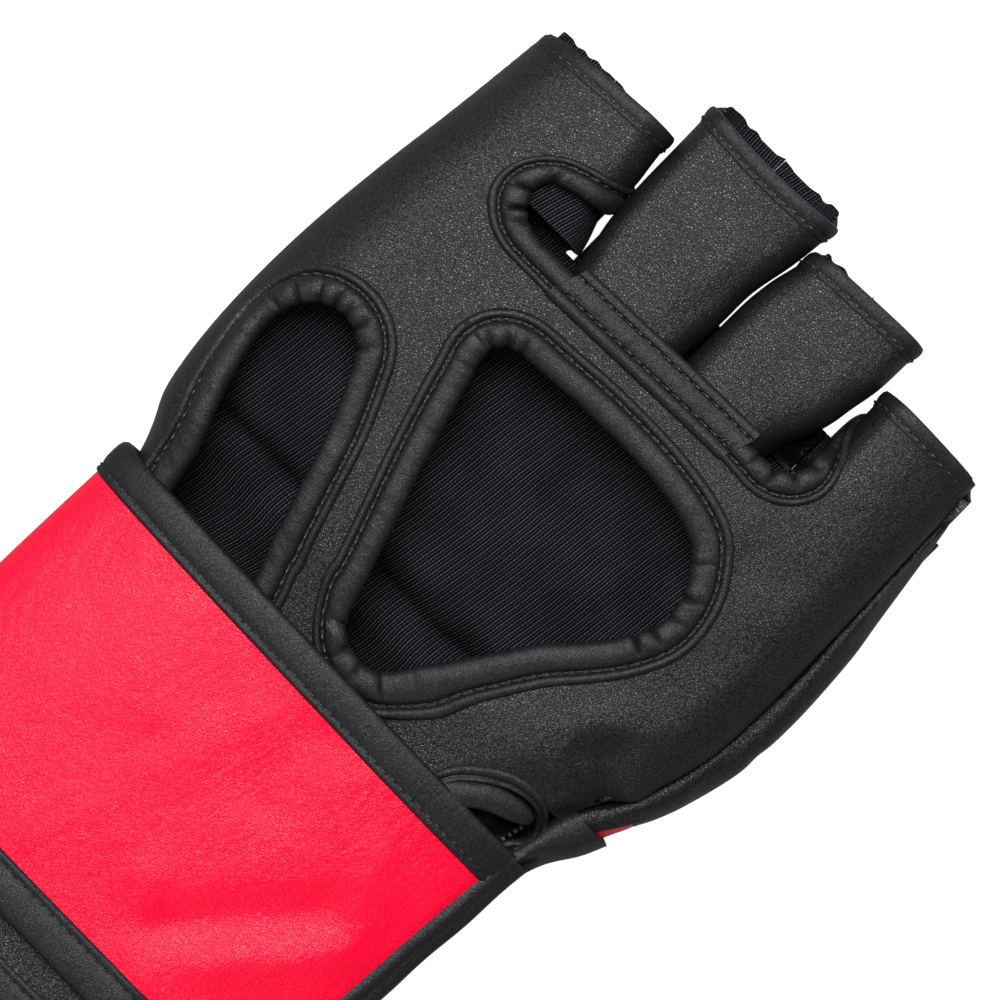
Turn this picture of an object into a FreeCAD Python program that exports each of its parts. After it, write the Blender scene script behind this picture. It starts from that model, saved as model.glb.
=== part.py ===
"""Left-hand open-palm mixed martial arts glove, palm side up.

Frame: millimetres, +Z out of the palm, +Y towards the fingertips, +X towards the little finger.
The glove lies on the back of its padding, and the origin is under the middle of its outline, on the
surface that it lies on.
"""
import FreeCAD, Part
import math
import os

V = FreeCAD.Vector

# Driving dimensions
LEATHER = 1.3           # thickness of the cover and palm leather
LINING = 0.7            # thickness of the twill lining
BINDING_RISE = 1.1      # how far a binding stands proud of the leather it folds over
BINDING_WIDTH = 8.0     # from an opening's edge to the binding's outer ridge
STRAP_LEATHER = 1.7     # strap leather with its backing
STRAP_CLEAR = 1.3       # from the cuff to the strap's inner face
PATCH = 0.5             # hook patch and loop patch thickness
GAP = 0.3               # clearance between pieces on different bodies
FIT = 0.25              # clearance between pieces that are sewn or laid against each other

WRIST_END = -112.0      # open end of the cuff
HAND_START = -24.0      # where cuff and hand join, under the strap
KNUCKLE_Y = 70.0        # the fingers' hinge line
KNUCKLE_Z = 36.0
FLEX_BACK = 0.085       # half the flex groove's opening for each mm below the hinge line
FLEX_PALM = 0.45        # the same above the hinge line, where curling closes it
PAD_SPLIT_Y = 26.0      # groove between knuckle pad and back-of-hand pad
RED_BACK_Y = 0.0        # where the red lower back panel starts
STRAP_TOP = (-17.0, -20.5)      # strap's upper edge at its thumb end and its little-finger end
STRAP_BOTTOM = (-97.0, -98.5)
STRAP_BINDING = 8.0
STRAP_RISE = 0.9                # how far the strap's bindings stand proud of its leather
STRAP_FOLD_Z = 17.0     # height of the strap's fold hinge at the thumb side
STRAP_TIP_X = 0.0       # where the strap's tip starts on the back
STRAP_END_X = 36.0      # tip of the strap on the back
STRAP_SIDES = (-70.0, 52.0)     # past the strap's thumb side and its little-finger side
STRAP_OVERLAP = 12.0            # how far the strap's form runs on over the hand
STRAP_TRIM = 1.5                # from the strap's outline in to the edge of its leather
PIPING_X = (43.5, 41.5)         # inner edge of the side piping at the strap's top and bottom
PAD_GROOVE = 1.0        # width of the groove between the two pads

ROUNDNESS = 2.6         # power of the superellipse of every cross-section
RING_POINTS = 28
OFFSET_POINTS = 32      # points taken along an opening's edge to draw the curve beside it
COLUMN_FOOT = -20.0     # the columns over openings start below the glove and end above it
COLUMN_HEIGHT = 100.0
WEDGE_Z = (-10.0, 60.0)         # the flex groove's wedge starts below the glove and ends above it
SEAM_PLANE = ((-140.0, 5.0), (140.0, 33.0))     # x and z of two points of the side seams' plane
BIG = 400.0
SLIVER = 1.0            # smallest solid kept, in cubic millimetres

# Cross-sections: y, thumb-side x, little-finger-side x, z of back, z of widest line, z of palm side
HAND = [
    (-24.0, -60.5, 46.5, 4.0, 18.0, 32.6),
    (-16.0, -62.0, 50.0, 3.0, 18.0, 33.6),
    (-6.0, -65.0, 57.5, 1.6, 18.5, 35.6),
    (14.0, -68.0, 65.0, 0.0, 19.0, 37.5),
    (40.0, -68.0, 67.5, -0.8, 19.5, 38.0),
    (62.0, -66.3, 65.5, -0.8, 20.0, 37.6),
    (82.0, -64.0, 62.5, -0.8, 20.0, 37.2),
]
CAVITY = [
    (-24.5, -58.4, 44.4, 5.9, 18.0, 60.0),
    (-8.0, -60.5, 50.0, 13.0, 24.0, 60.0),
    (14.0, -62.5, 56.0, 20.0, 27.0, 60.0),
    (40.0, -62.5, 58.0, 21.5, 28.0, 60.0),
    (62.0, -61.5, 58.0, 21.5, 28.0, 60.0),
    (82.0, -60.0, 57.0, 21.5, 28.0, 60.0),
]
CUFF = [
    (-24.0, -60.5, 46.5, 4.0, 18.0, 32.6),
    (-60.0, -61.5, 44.5, 4.0, 18.0, 32.0),
    (-112.0, -60.0, 43.5, 4.2, 18.0, 31.0),
]
# Each finger: x at the root, x at the mouth, and the mouth's y on the palm side and on the back
FINGERS = {
    "index": ((-62.5, -42.0), (-62.0, -29.3), (97.5, 99.5)),
    "middle": ((-25.0, 1.6), (-28.3, 2.9), (108.5, 112.0)),
    "ring": ((3.5, 24.0), (3.5, 33.2), (103.5, 105.0)),
    "pinky": ((36.5, 60.5), (34.1, 59.5), (93.2, 93.8)),
}
STALL_Z = (18.5, 27.5, 37.0)    # back, widest line and palm side of a finger stall
PAD_Z = (5.0, 14.0, 26.0)       # the same of a finger's pad, which the stall sits in
PAD_INSET = 1.2                 # each side of the pad within its stall's width
PAD_BACK_OFF = 3.0              # from the stall's mouth back to the pad's end
CORE_START = 5.5                # from the hinge line to the pad's foam
ROOT_LENGTH = 4.0               # a stall keeps its root's width this far each side of the hinge line,
MOUTH_START = 16.0              # and has its mouth's width from here on
STALL_START = 3.0               # the stall's form starts this far before the hinge line
WEB_LOW = 3.0                   # a web binding's lower edge above the stall's widest line
LINING_HIGH = 4.0               # the stall lining's upper edge above it

# Openings of the palm, as closed curves through these points
KEYHOLE = [(-25.0, 43.0), (-20.0, 24.0), (-13.0, 2.0), (-8.0, -12.0), (-1.5, -14.8), (5.0, -11.0),
           (20.0, 11.0), (32.0, 26.0), (34.0, 36.0), (27.0, 46.0), (0.0, 49.5), (-20.0, 48.3)]
THUMB_OPENING = [(-44.0, -32.0), (-52.0, -8.0), (-59.0, 12.0), (-57.5, 25.5), (-49.0, 29.5),
                 (-41.0, 22.0), (-33.0, 1.0), (-27.0, -20.0), (-25.0, -32.0), (-34.0, -37.0)]
HEEL_SLIT = [(31.5, -15.0), (37.5, -12.3), (43.5, -13.0), (43.5, -19.0), (38.0, -27.0), (31.0, -24.0)]
HEEL_SLIT_RIM = [(28.5, -14.5), (37.0, -9.6), (46.0, -11.0), (46.6, -20.0), (39.0, -30.0), (28.5, -26.0)]
INDEX_WEB = [(-41.0, 71.0), (-37.5, 66.9), (-30.0, 66.5), (-25.0, 68.5), (-24.6, 75.0),
             (-27.0, 79.5), (-33.0, 77.6), (-39.0, 75.6)]
PINKY_WEB = [(24.0, 70.0), (28.5, 67.3), (33.3, 68.5), (34.6, 73.0), (31.0, 77.5), (26.0, 75.0)]
THUMB_BINDING_LOW = 22.0        # the thumb binding stops here on the glove's side
WEB_BINDING = 6.5
EDGE_SEAT = 1.5         # how far a binding reaches into its opening past the leather's edge
STRIP_X = (-24.0, 20.5)
STRIP_Y = (60.0, 69.2)
ROOT_EDGE_X = (-25.0, 25.0)     # palm leather's edge under the finger-root strip: its span,
ROOT_EDGE_Y = 62.5              # and how far up it reaches
TONGUE = 2.2            # thickness of the padded tongue under the heel slit
GUSSET_X = 49.0         # the little-finger gusset's inner edge, and its upper end
GUSSET_Y = -7.0
FOAM_TOP = 24.0         # highest edge of the foam's side walls, and of the lining over them
LINING_TOP = 26.0
BACK_PAD_START = -14.0
CUFF_HEM = 8.0
CUFF_HEM_RISE = 0.4
PIPING_LOW = 13.0       # lower edge of the side piping
PIPING_Y = (-10.0, -105.0)      # past the piping's two ends
BACK_TOP = 12.0         # a height between the cuff's back and its sides
PATCH_INSET = 9.0       # from the strap's edges to the hook and loop patches
LOOP_X = (-14.0, 36.0)
HOOK_X = (4.0, 27.0)
WEBS = {"index": (INDEX_WEB, (-BIG, STRIP_X[0])), "pinky": (PINKY_WEB, (34.0, BIG))}


def ring(section, grow=0.0):
    """One cross-section as a closed curve: a superellipse with its own height above and below."""
    y, x_thumb, x_pinky, z_back, z_waist, z_palm = section
    middle = (x_thumb + x_pinky) / 2
    half = (x_pinky - x_thumb) / 2 + grow
    points = []
    for step in range(RING_POINTS):
        turn = 2 * math.pi * step / RING_POINTS
        across = math.copysign(abs(math.cos(turn)) ** (2 / ROUNDNESS), math.cos(turn))
        up = math.copysign(abs(math.sin(turn)) ** (2 / ROUNDNESS), math.sin(turn))
        rise = (z_palm - z_waist if up > 0 else z_waist - z_back) + grow
        points.append(V(middle + half * across, y, z_waist + rise * up))
    curve = Part.BSplineCurve()
    curve.interpolate(points, PeriodicFlag=True)
    return Part.Wire(curve.toShape())


def body(sections, grow=0.0, straight=False):
    """The solid through a list of cross-sections, each grown outwards by grow."""
    return Part.makeLoft([ring(section, grow) for section in sections], True, straight)


def shell(sections, inner, outer, straight=False):
    """The wall between two growths of the same sections."""
    return body(sections, outer, straight).cut(body(stretched(sections), inner, straight))


def stretched(sections):
    """The same sections with their ends 1 mm further out, so that a cut goes right through."""
    longer = list(sections)
    for end in (0, -1):
        past = math.copysign(1.0, sections[end][0] - sections[len(sections) // 2][0])
        longer[end] = (sections[end][0] + past,) + tuple(sections[end][1:])
    return longer


def box(x=(-BIG, BIG), y=(-BIG, BIG), z=(-BIG, BIG)):
    return Part.makeBox(x[1] - x[0], y[1] - y[0], z[1] - z[0], V(x[0], y[0], z[0]))


def prism(corners, direction, base=(0.0, 0.0, 0.0)):
    """A straight prism from a polygon of 3-D corners."""
    wire = Part.makePolygon([V(*base) + V(*corner) for corner in corners + corners[:1]])
    return Part.Face(wire).extrude(V(*direction))


def closed_curve(points):
    curve = Part.BSplineCurve()
    curve.interpolate([V(x, y, COLUMN_FOOT) for x, y in points], PeriodicFlag=True)
    return curve


def outline(points, grow=0.0):
    """The column over a closed curve through plan points, grown outwards by grow."""
    curve = closed_curve(points)
    if grow:
        around = sum(p[0] * q[1] - q[0] * p[1] for p, q in zip(points, points[1:] + points[:1]))
        out = math.copysign(grow, around)
        first, last = curve.FirstParameter, curve.LastParameter
        moved = []
        for step in range(OFFSET_POINTS):
            at = first + (last - first) * step / OFFSET_POINTS
            place, along = curve.value(at), curve.tangent(at)[0]
            moved.append((place.x + out * along.y, place.y - out * along.x))
        curve = closed_curve(moved)
    return Part.Face(Part.Wire(curve.toShape())).extrude(V(0, 0, COLUMN_HEIGHT))


def band(points, width):
    """The column over the band of a given width round the outside of an opening."""
    return outline(points, width).cut(outline(points))


def above_side_seam(sign):
    """Half-space above (+1) or below (-1) the seam plane between palm leather and back cover."""
    low, high = [(x, z + sign * FIT / 2) for x, z in SEAM_PLANE]
    far = sign * BIG
    corners = [(low[0], -BIG, low[1]), (high[0], -BIG, high[1]), (high[0], -BIG, far), (low[0], -BIG, far)]
    return prism(corners, (0, 2 * BIG, 0))


def flex_groove():
    """The wedge that stays open between hand and fingers, so that the fingers can curl."""
    low, high = WEDGE_Z
    wide_low = GAP + FLEX_BACK * (KNUCKLE_Z - low)
    wide_high = GAP + FLEX_PALM * (high - KNUCKLE_Z)
    side = [(-wide_low, low), (-GAP, KNUCKLE_Z), (-wide_high, high),
            (wide_high, high), (GAP, KNUCKLE_Z), (wide_low, low)]
    return prism([(-BIG, KNUCKLE_Y + y, z) for y, z in side], (2 * BIG, 0, 0))


def strap_span(top_trim, bottom_trim):
    """The slab of the strap's length along the arm, less a trim at each edge."""
    left, right = STRAP_SIDES
    corners = [(left, STRAP_TOP[0] - top_trim), (right, STRAP_TOP[1] - top_trim),
               (right, STRAP_BOTTOM[1] + bottom_trim), (left, STRAP_BOTTOM[0] + bottom_trim)]
    return prism([(x, y, COLUMN_FOOT) for x, y in corners], (0, 0, COLUMN_HEIGHT))


def save(name, shape):
    """Write one node's solids, without the slivers that a cut may leave, and print its size."""
    solids = [solid for solid in shape.Solids if solid.Volume > SLIVER]
    shape = solids[0] if len(solids) == 1 else Part.makeCompound(solids)
    box_ = shape.BoundBox
    print(f"{name:24s} solids {len(solids)} valid {shape.isValid()} volume {shape.Volume:9.1f} "
          f"x {box_.XMin:6.1f} {box_.XMax:6.1f}  y {box_.YMin:6.1f} {box_.YMax:6.1f} "
          f" z {box_.ZMin:5.1f} {box_.ZMax:5.1f}")
    shape.exportStep(f"parts/{name}.step")


def make_hand():
    on_hand = box(y=(HAND_START + FIT, KNUCKLE_Y)).cut(flex_groove())
    palm_side = above_side_seam(1)
    leather = shell(HAND, -LEATHER, 0.0).common(on_hand).common(box(z=(0.0, BIG)))
    gusset_corner = box(x=(GUSSET_X, BIG), y=(HAND_START, GUSSET_Y))
    past_gusset = box(x=(GUSSET_X - FIT, BIG), y=(HAND_START, GUSSET_Y + FIT))

    palm = leather.common(palm_side).cut(past_gusset)
    for opening in (KEYHOLE, THUMB_OPENING, INDEX_WEB, PINKY_WEB):
        palm = palm.cut(outline(opening, EDGE_SEAT))
    palm = palm.cut(outline(HEEL_SLIT))
    save("palm_panel", palm.cut(box(x=ROOT_EDGE_X, y=(ROOT_EDGE_Y, BIG))))

    proud = shell(HAND, FIT, BINDING_RISE).common(on_hand).common(palm_side).cut(past_gusset)
    thumb_part = box(z=(THUMB_BINDING_LOW, BIG))
    index_part = box(x=(-BIG, STRIP_X[0] - FIT))
    pinky_part = box(x=(STRIP_X[1] + FIT, BIG))
    save("keyhole_binding", proud.common(band(KEYHOLE, BINDING_WIDTH)))
    save("thumb_opening_binding", proud.common(band(THUMB_OPENING, BINDING_WIDTH)).common(thumb_part))
    save("heel_slit_binding", proud.common(outline(HEEL_SLIT_RIM)).cut(outline(HEEL_SLIT)))
    save("finger_root_strip", proud.common(box(x=STRIP_X, y=STRIP_Y)))
    save("index_web_binding", proud.common(band(INDEX_WEB, WEB_BINDING)).common(index_part))
    save("pinky_web_binding", proud.common(band(PINKY_WEB, WEB_BINDING)).common(pinky_part))

    tongue = shell(HAND, -LEATHER - TONGUE, -LEATHER - FIT).common(on_hand).common(palm_side)
    save("slit_tongue", tongue.common(outline(HEEL_SLIT_RIM)).cut(past_gusset))
    save("pinky_side_gusset", leather.common(gusset_corner))
    back = leather.common(above_side_seam(-1)).cut(past_gusset)
    save("back_cover", back.common(box(y=(RED_BACK_Y + FIT, BIG))))
    save("back_lower_panel", back.common(box(y=(-BIG, RED_BACK_Y))))

    inside = body(HAND, -LEATHER - FIT).common(on_hand).common(box(z=(LEATHER + FIT, FOAM_TOP)))
    foam = inside.cut(body(stretched(CAVITY), LINING + FIT))
    save("knuckle_foam_pad", foam.common(box(y=(PAD_SPLIT_Y, BIG))))
    save("back_hand_foam_pad", foam.common(box(y=(BACK_PAD_START, PAD_SPLIT_Y - PAD_GROOVE))))
    lining = shell(CAVITY, 0.0, LINING).common(body(HAND, -LEATHER - FIT)).common(on_hand)
    save("back_lining", lining.common(box(z=(-BIG, LINING_TOP), y=(HAND_START + LEATHER, BIG))))


def make_cuff():
    body_part = box(y=(WRIST_END + CUFF_HEM + FIT, BIG))
    end_part = box(y=(-BIG, WRIST_END + CUFF_HEM))
    save("wrist_cuff", shell(CUFF, -LEATHER, 0.0).common(body_part))
    save("cuff_lining", shell(CUFF, -LEATHER - LINING - FIT, -LEATHER - FIT).common(body_part))
    save("cuff_end_binding", shell(CUFF, -LEATHER - LINING, CUFF_HEM_RISE).common(end_part))
    patch = shell(CUFF, FIT, PATCH).common(strap_span(PATCH_INSET, PATCH_INSET))
    save("loop_patch", patch.common(box(x=LOOP_X, z=(-BIG, BACK_TOP))))


def make_strap():
    inner, outer = STRAP_CLEAR, STRAP_CLEAR + STRAP_LEATHER
    longer = [(HAND_START + STRAP_OVERLAP,) + CUFF[0][1:]] + CUFF[1:]
    hand_end = body(HAND, BINDING_RISE + FIT)
    sheet = shell(longer, inner, outer).common(strap_span(STRAP_TRIM, STRAP_TRIM)).cut(hand_end)
    proud = shell(longer, outer + FIT, outer + STRAP_RISE).common(strap_span(0.0, 0.0)).cut(hand_end)
    top = proud.cut(strap_span(STRAP_BINDING, -STRAP_BINDING))
    bottom = proud.cut(strap_span(-STRAP_BINDING, STRAP_BINDING))
    edges = (top, bottom)

    x_top, x_bottom = PIPING_X
    upper, lower = PIPING_Y
    corners = [(x_top, upper, PIPING_LOW), (BIG, upper, PIPING_LOW),
               (BIG, lower, PIPING_LOW), (x_bottom, lower, PIPING_LOW)]
    piping_room = prism(corners, (0, 0, BIG))
    beside_piping = prism([(x - FIT, y, z - FIT) for x, y, z in corners], (0, 0, BIG))
    palm_side = box(z=(STRAP_FOLD_Z + GAP, BIG)).cut(beside_piping)
    save("strap_palm_panel", sheet.common(palm_side))
    save("strap_top_binding", top.common(palm_side))
    save("strap_bottom_binding", bottom.common(palm_side))
    whole = shell(longer, inner, outer + STRAP_RISE).common(strap_span(0.0, 0.0)).cut(hand_end)
    save("strap_side_piping", whole.common(piping_room))

    back_side = box(x=(-BIG, STRAP_TIP_X - GAP), z=(-BIG, STRAP_FOLD_Z - GAP))
    save("strap_back_panel", sheet.common(back_side))
    save("strap_back_binding", Part.makeCompound([edge.common(back_side) for edge in edges]))
    tip_side = box(x=(STRAP_TIP_X + GAP, STRAP_END_X - STRAP_BINDING), z=(-BIG, BACK_TOP))
    tip_end = box(x=(STRAP_END_X - STRAP_BINDING + FIT, STRAP_END_X), z=(-BIG, BACK_TOP))
    tip_leather = box(x=(STRAP_TIP_X + GAP, STRAP_END_X - STRAP_TRIM), z=(-BIG, BACK_TOP))
    save("strap_tip_panel", sheet.common(tip_leather))
    trim = [edge.common(tip_side) for edge in edges] + [proud.common(tip_end)]
    save("strap_tip_binding", Part.makeCompound(trim))
    hooks = shell(longer, inner - PATCH, inner - FIT).common(strap_span(PATCH_INSET, PATCH_INSET))
    save("hook_patch", hooks.common(box(x=HOOK_X, z=(-BIG, BACK_TOP))))


def make_finger(name):
    root, mouth, (palm_y, back_y) = FINGERS[name]
    stations = ((KNUCKLE_Y - ROOT_LENGTH, root), (KNUCKLE_Y + ROOT_LENGTH, root),
                (KNUCKLE_Y + MOUTH_START, mouth), (back_y + ROOT_LENGTH, mouth))
    tube = [(y, x[0], x[1]) + STALL_Z for y, x in stations]
    pad = [(y, x[0] + PAD_INSET, x[1] - PAD_INSET) + PAD_Z for y, x in stations]
    low, high, start = STALL_Z[0], STALL_Z[2], KNUCKLE_Y - STALL_START
    slope = (back_y - palm_y) / (high - low)
    side = [(palm_y - slope * BINDING_RISE, high + BINDING_RISE), (back_y, low), (back_y, COLUMN_FOOT),
            (start, COLUMN_FOOT), (start, high + BINDING_RISE)]
    length = prism([(-BIG, y, z) for y, z in side], (2 * BIG, 0, 0)).cut(flex_groove())
    length = length.common(box(y=(KNUCKLE_Y, BIG)))
    stall = shell(tube, -LEATHER, 0.0, True).common(length)
    web = WEBS.get(name)
    if web:
        points, side_x = web
        stall = stall.cut(outline(points, EDGE_SEAT))
        over = shell(tube, FIT, BINDING_RISE, True).common(length).common(band(points, WEB_BINDING))
        save(f"{name}_stall_web_binding", over.common(box(x=side_x, z=(STALL_Z[1] + WEB_LOW, BIG))))
    save(f"{name}_stall", stall)
    lining = shell(tube, -LEATHER - LINING - FIT, -LEATHER - FIT, True).common(length)
    save(f"{name}_stall_lining", lining.common(box(z=(-BIG, STALL_Z[1] + LINING_HIGH))))
    pad_end = back_y - PAD_BACK_OFF
    block = body(pad, 0.0, True).cut(body(tube, FIT, True))
    block = block.common(box(y=(KNUCKLE_Y, pad_end)).cut(flex_groove()))
    hollow = pad_core(pad, tube, 0.0).common(box(y=(KNUCKLE_Y + CORE_START, pad_end - LEATHER)))
    core = pad_core(pad, tube, FIT).common(box(y=(KNUCKLE_Y + CORE_START + FIT, pad_end - LEATHER - FIT)))
    save(f"{name}_pad_foam", core)
    save(f"{name}_pad_cover", block.cut(hollow))


def pad_core(pad, tube, clear):
    """The space inside a finger pad's cover, drawn in by a clearance."""
    return body(pad, -LEATHER - clear, True).cut(body(tube, LEATHER + FIT + clear, True))


def main():
    os.makedirs("parts", exist_ok=True)
    make_hand()
    make_cuff()
    make_strap()
    for name in FINGERS:
        make_finger(name)


main()
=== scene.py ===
"""Looks of the open-palm martial arts glove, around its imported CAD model. Lengths here are in
millimetres, and MM turns them into metres when a mesh is made."""
import math

import bpy
import numpy as np
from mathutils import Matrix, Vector
from mathutils.geometry import delaunay_2d_cdt


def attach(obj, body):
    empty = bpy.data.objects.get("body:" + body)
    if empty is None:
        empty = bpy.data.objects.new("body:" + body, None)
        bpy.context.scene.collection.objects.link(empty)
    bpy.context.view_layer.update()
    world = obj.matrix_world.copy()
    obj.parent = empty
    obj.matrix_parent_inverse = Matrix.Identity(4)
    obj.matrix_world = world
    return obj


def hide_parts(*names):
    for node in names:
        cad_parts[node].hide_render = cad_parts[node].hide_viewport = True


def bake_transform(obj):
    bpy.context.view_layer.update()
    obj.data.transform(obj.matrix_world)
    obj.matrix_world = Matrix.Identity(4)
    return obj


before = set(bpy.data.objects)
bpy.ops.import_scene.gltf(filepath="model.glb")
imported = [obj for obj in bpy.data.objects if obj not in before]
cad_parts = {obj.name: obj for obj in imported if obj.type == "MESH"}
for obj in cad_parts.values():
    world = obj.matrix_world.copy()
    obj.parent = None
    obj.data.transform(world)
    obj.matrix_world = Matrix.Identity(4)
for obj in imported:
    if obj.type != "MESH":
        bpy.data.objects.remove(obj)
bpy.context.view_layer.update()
MM = 0.001
RNG = np.random.default_rng(7)

# ---------------------------------------------------------------- driving sizes
LEATHER = 1.2
KNUCKLE_Y = 70.0
STITCH_PITCH = 2.5
STITCH_AT = 5.6             # stitch line's distance from an opening's edge
PANEL_UNDER = 3.2           # the leather reaches this near to an opening's edge, under its binding
NORMAL_REACH = 1.2          # a sheet's normal is taken from points this far to each side

# ---------------------------------------------------------------- curves
def spline_through(points, samples, closed):
    """Catmull-Rom points through a list of points, evenly many per span."""
    p = np.asarray(points, float)
    n = len(p)
    spans = n if closed else n - 1
    idx = np.arange(samples) * spans / (samples if closed else samples - 1)
    i = np.minimum(idx.astype(int), spans - 1)
    t = (idx - i)[:, None]

    def at(k):
        return p[k % n] if closed else p[np.clip(k, 0, n - 1)]

    a, b, c, d = at(i - 1), at(i), at(i + 1), at(i + 2)
    if not closed:
        first, last = (i == 0)[:, None], (i == spans - 1)[:, None]
        a = np.where(first, 2 * b - c, a)
        d = np.where(last, 2 * c - b, d)
    return 0.5 * (2 * b + (c - a) * t + (2 * a - 5 * b + 4 * c - d) * t**2 + (3 * b - a - 3 * c + d) * t**3)


def lengths(points):
    return np.r_[0, np.cumsum(np.linalg.norm(np.diff(points, axis=0), axis=1))]


def evenly(points, step, closed):
    """The same polyline with its points about step apart."""
    p = np.asarray(points, float)
    if closed:
        p = np.r_[p, p[:1]]
    run = lengths(p)
    count = max(3, int(round(run[-1] / step)))
    at = np.linspace(0, run[-1], count + 1)
    if closed:
        at = at[:-1]
    return np.c_[tuple(np.interp(at, run, p[:, k]) for k in range(p.shape[1]))]


def curve(points, step=0.6, closed=True):
    return evenly(spline_through(points, 40 * len(points), closed), step, closed)


def normals_2d(path, closed):
    """Unit normals of a plan path, on its right-hand side, or outwards from a closed one."""
    along = np.roll(path, -1, 0) - np.roll(path, 1, 0) if closed else np.gradient(path, axis=0)
    along /= np.linalg.norm(along, axis=1)[:, None]
    n = np.c_[along[:, 1], -along[:, 0]]
    x, y = path.T
    if closed and np.sum(x * np.roll(y, -1) - np.roll(x, -1) * y) < 0:
        n = -n
    return n


def smooth_step(t):
    t = np.clip(t, 0, 1)
    return t * t * (3 - 2 * t)


def hermite(y, table):
    """Smooth values of a table's columns at y. The table's first column is y."""
    t = np.asarray(table, float)
    ys, v = t[:, 0], t[:, 1:]
    y = np.atleast_1d(np.asarray(y, float))
    m = np.gradient(v, ys, axis=0)
    i = np.clip(np.searchsorted(ys, y) - 1, 0, len(ys) - 2)
    h = (ys[i + 1] - ys[i])[:, None]
    s = np.clip((y - ys[i])[:, None] / h, 0, 1)
    return ((2 * s**3 - 3 * s**2 + 1) * v[i] + (s**3 - 2 * s**2 + s) * h * m[i]
            + (-2 * s**3 + 3 * s**2) * v[i + 1] + (s**3 - s**2) * h * m[i + 1])


# ---------------------------------------------------------------- the glove's outer form
# y, thumb edge, little-finger seam, little-finger wall, palm height, back height
HAND = [
    (-26, -59.2, 44.6, 48.0, 32.4, 4.0), (-17, -60.3, 47.0, 51.2, 33.2, 3.0),
    (-11, -62.5, 48.2, 55.0, 34.2, 2.2),
    (-6, -65.0, 50.0, 57.2, 35.2, 1.6), (2, -66.9, 55.0, 61.0, 36.2, 0.8), (9, -67.8, 57.5, 63.8, 36.9, 0.3),
    (19, -68.4, 60.0, 66.2, 37.3, 0.0), (34, -68.3, 61.0, 67.4, 37.6, 0.0),
    (54, -66.7, 60.6, 66.0, 37.5, 0.0),
    (74, -64.2, 59.8, 63.2, 37.2, 0.0), (100, -61.5, 58.8, 58.9, 36.9, 0.0),
]
# Each finger: y, left edge, right edge of its stall
STALLS = {
    "index": [(58, -64, -24.0), (72, -63.5, -25.4), (80, -63.0, -27.9), (88, -62.4, -28.4),
              (94, -62.1, -29.2),
              (102, -61.8, -29.9)],
    "middle": [(58, -24.8, 0.6), (70, -25.6, 1.4), (80, -27.4, 2.1), (88, -27.9, 2.2), (98, -28.1, 4.0),
               (114, -28.4, 5.6)],
    "ring": [(58, 2.6, 25.0), (70, 2.4, 26.6), (80, 2.4, 30.4), (88, 2.6, 32.0), (92, 3.1, 32.6),
             (100, 4.9, 32.9), (108, 5.9, 33.0)],
    "pinky": [(58, 36.0, 60.5), (72, 35.2, 59.9), (80, 34.4, 59.6), (90, 34.1, 59.2), (98, 34.1, 58.8)],
}
STALL_TOP, STALL_WAIST, STALL_LOW = 37.0, 27.5, 19.0


def creases(x, y, marks):
    """Height of soft folds: each mark is a line from a to b with a width and a height."""
    h = np.zeros(np.broadcast(x, y).shape)
    for (ax, ay), (bx, by), width, height in marks:
        dx, dy = bx - ax, by - ay
        run = math.hypot(dx, dy)
        t = ((x - ax) * dx + (y - ay) * dy) / run**2
        off = ((x - ax) * dy - (y - ay) * dx) / run
        end = np.exp(-np.clip(np.abs(t - 0.5) - 0.35, 0, None) ** 2 / 0.03)
        h = h + height * np.exp(-(off / width) ** 2) * end
    return h


PALM_FOLDS = [
    ((44, 10), (52, -2), 4.5, -1.8), ((40, 2), (50, 8), 3.5, -0.9), ((30, -2), (44, 12), 6.0, 0.6),
    ((44, 20), (52, 44), 7.0, -0.5), ((-40, 42), (-20, 56), 6.0, 0.35), ((-58, 34), (-30, 30), 5.0, 0.35),
    ((-34, 40), (-33, 10), 4.0, -0.3), ((36, 50), (52, 56), 6.0, -0.5), ((-62, -4), (-60, 30), 3.0, 0.3),
    ((14, 52), (34, 54), 4.0, 0.3), ((52, -8), (57, 6), 2.2, 0.7), ((47, -10), (55, 1), 1.6, -0.9),
]


def seam_z(y):
    """Height of the seams along both sides of the glove: it climbs towards the fingers."""
    return 11.0 + 6.0 * smooth_step((y - 58) / 30)


def hand_controls(y):
    """Control points of the palm side's arc at each y, from the seam at the thumb to the little finger's."""
    left, seam, top = hermite(y, HAND).T[[0, 1, 3]]
    return [(left + 1.5, seam_z(y)), (left, 19.0), (left + 3.2, 27.0), (left + 10.5, top - 3.8),
            (left + 23.0, top - 1.1), (-20.0, top), (4.0, top + 0.1), (27.0, top - 0.1),
            (seam - 13.0, top - 1.6), (seam - 5.2, top - 4.8), (seam - 1.2, top - 8.6), (seam, 25.4)]


def turned(controls, targets, share, picks):
    """Chosen control points, with those that have a target moved part of the way to it."""
    return [tuple((1 - share) * v + share * w for v, w in zip(controls[k], targets[k]))
            if k in targets else controls[k] for k in picks]


def index_controls(y):
    """The same arc for the index finger's part: its right-hand end turns down into the stall's side."""
    right = hermite(y, STALLS["index"])[:, 1]
    targets = {5: (right - 5.5, STALL_TOP - 0.7), 6: (right - 1.4, STALL_TOP - 4.2), 7: (right, STALL_WAIST),
               8: (right - 2.5, STALL_LOW + 0.5)}
    return turned(hand_controls(y), targets, smooth_step((y - 60) / 22), range(9))


def pinky_controls(y):
    """The same arc for the little finger's part: its left-hand end turns down into the stall's side."""
    left = hermite(y, STALLS["pinky"])[:, 0]
    targets = {4: (left + 2.5, STALL_LOW + 0.5), 5: (left, STALL_WAIST), 6: (left + 1.4, STALL_TOP - 4.2),
               7: (left + 5.0, STALL_TOP - 0.9)}
    return turned(hand_controls(y), targets, smooth_step((y - 60) / 18), range(4, 12))


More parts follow.
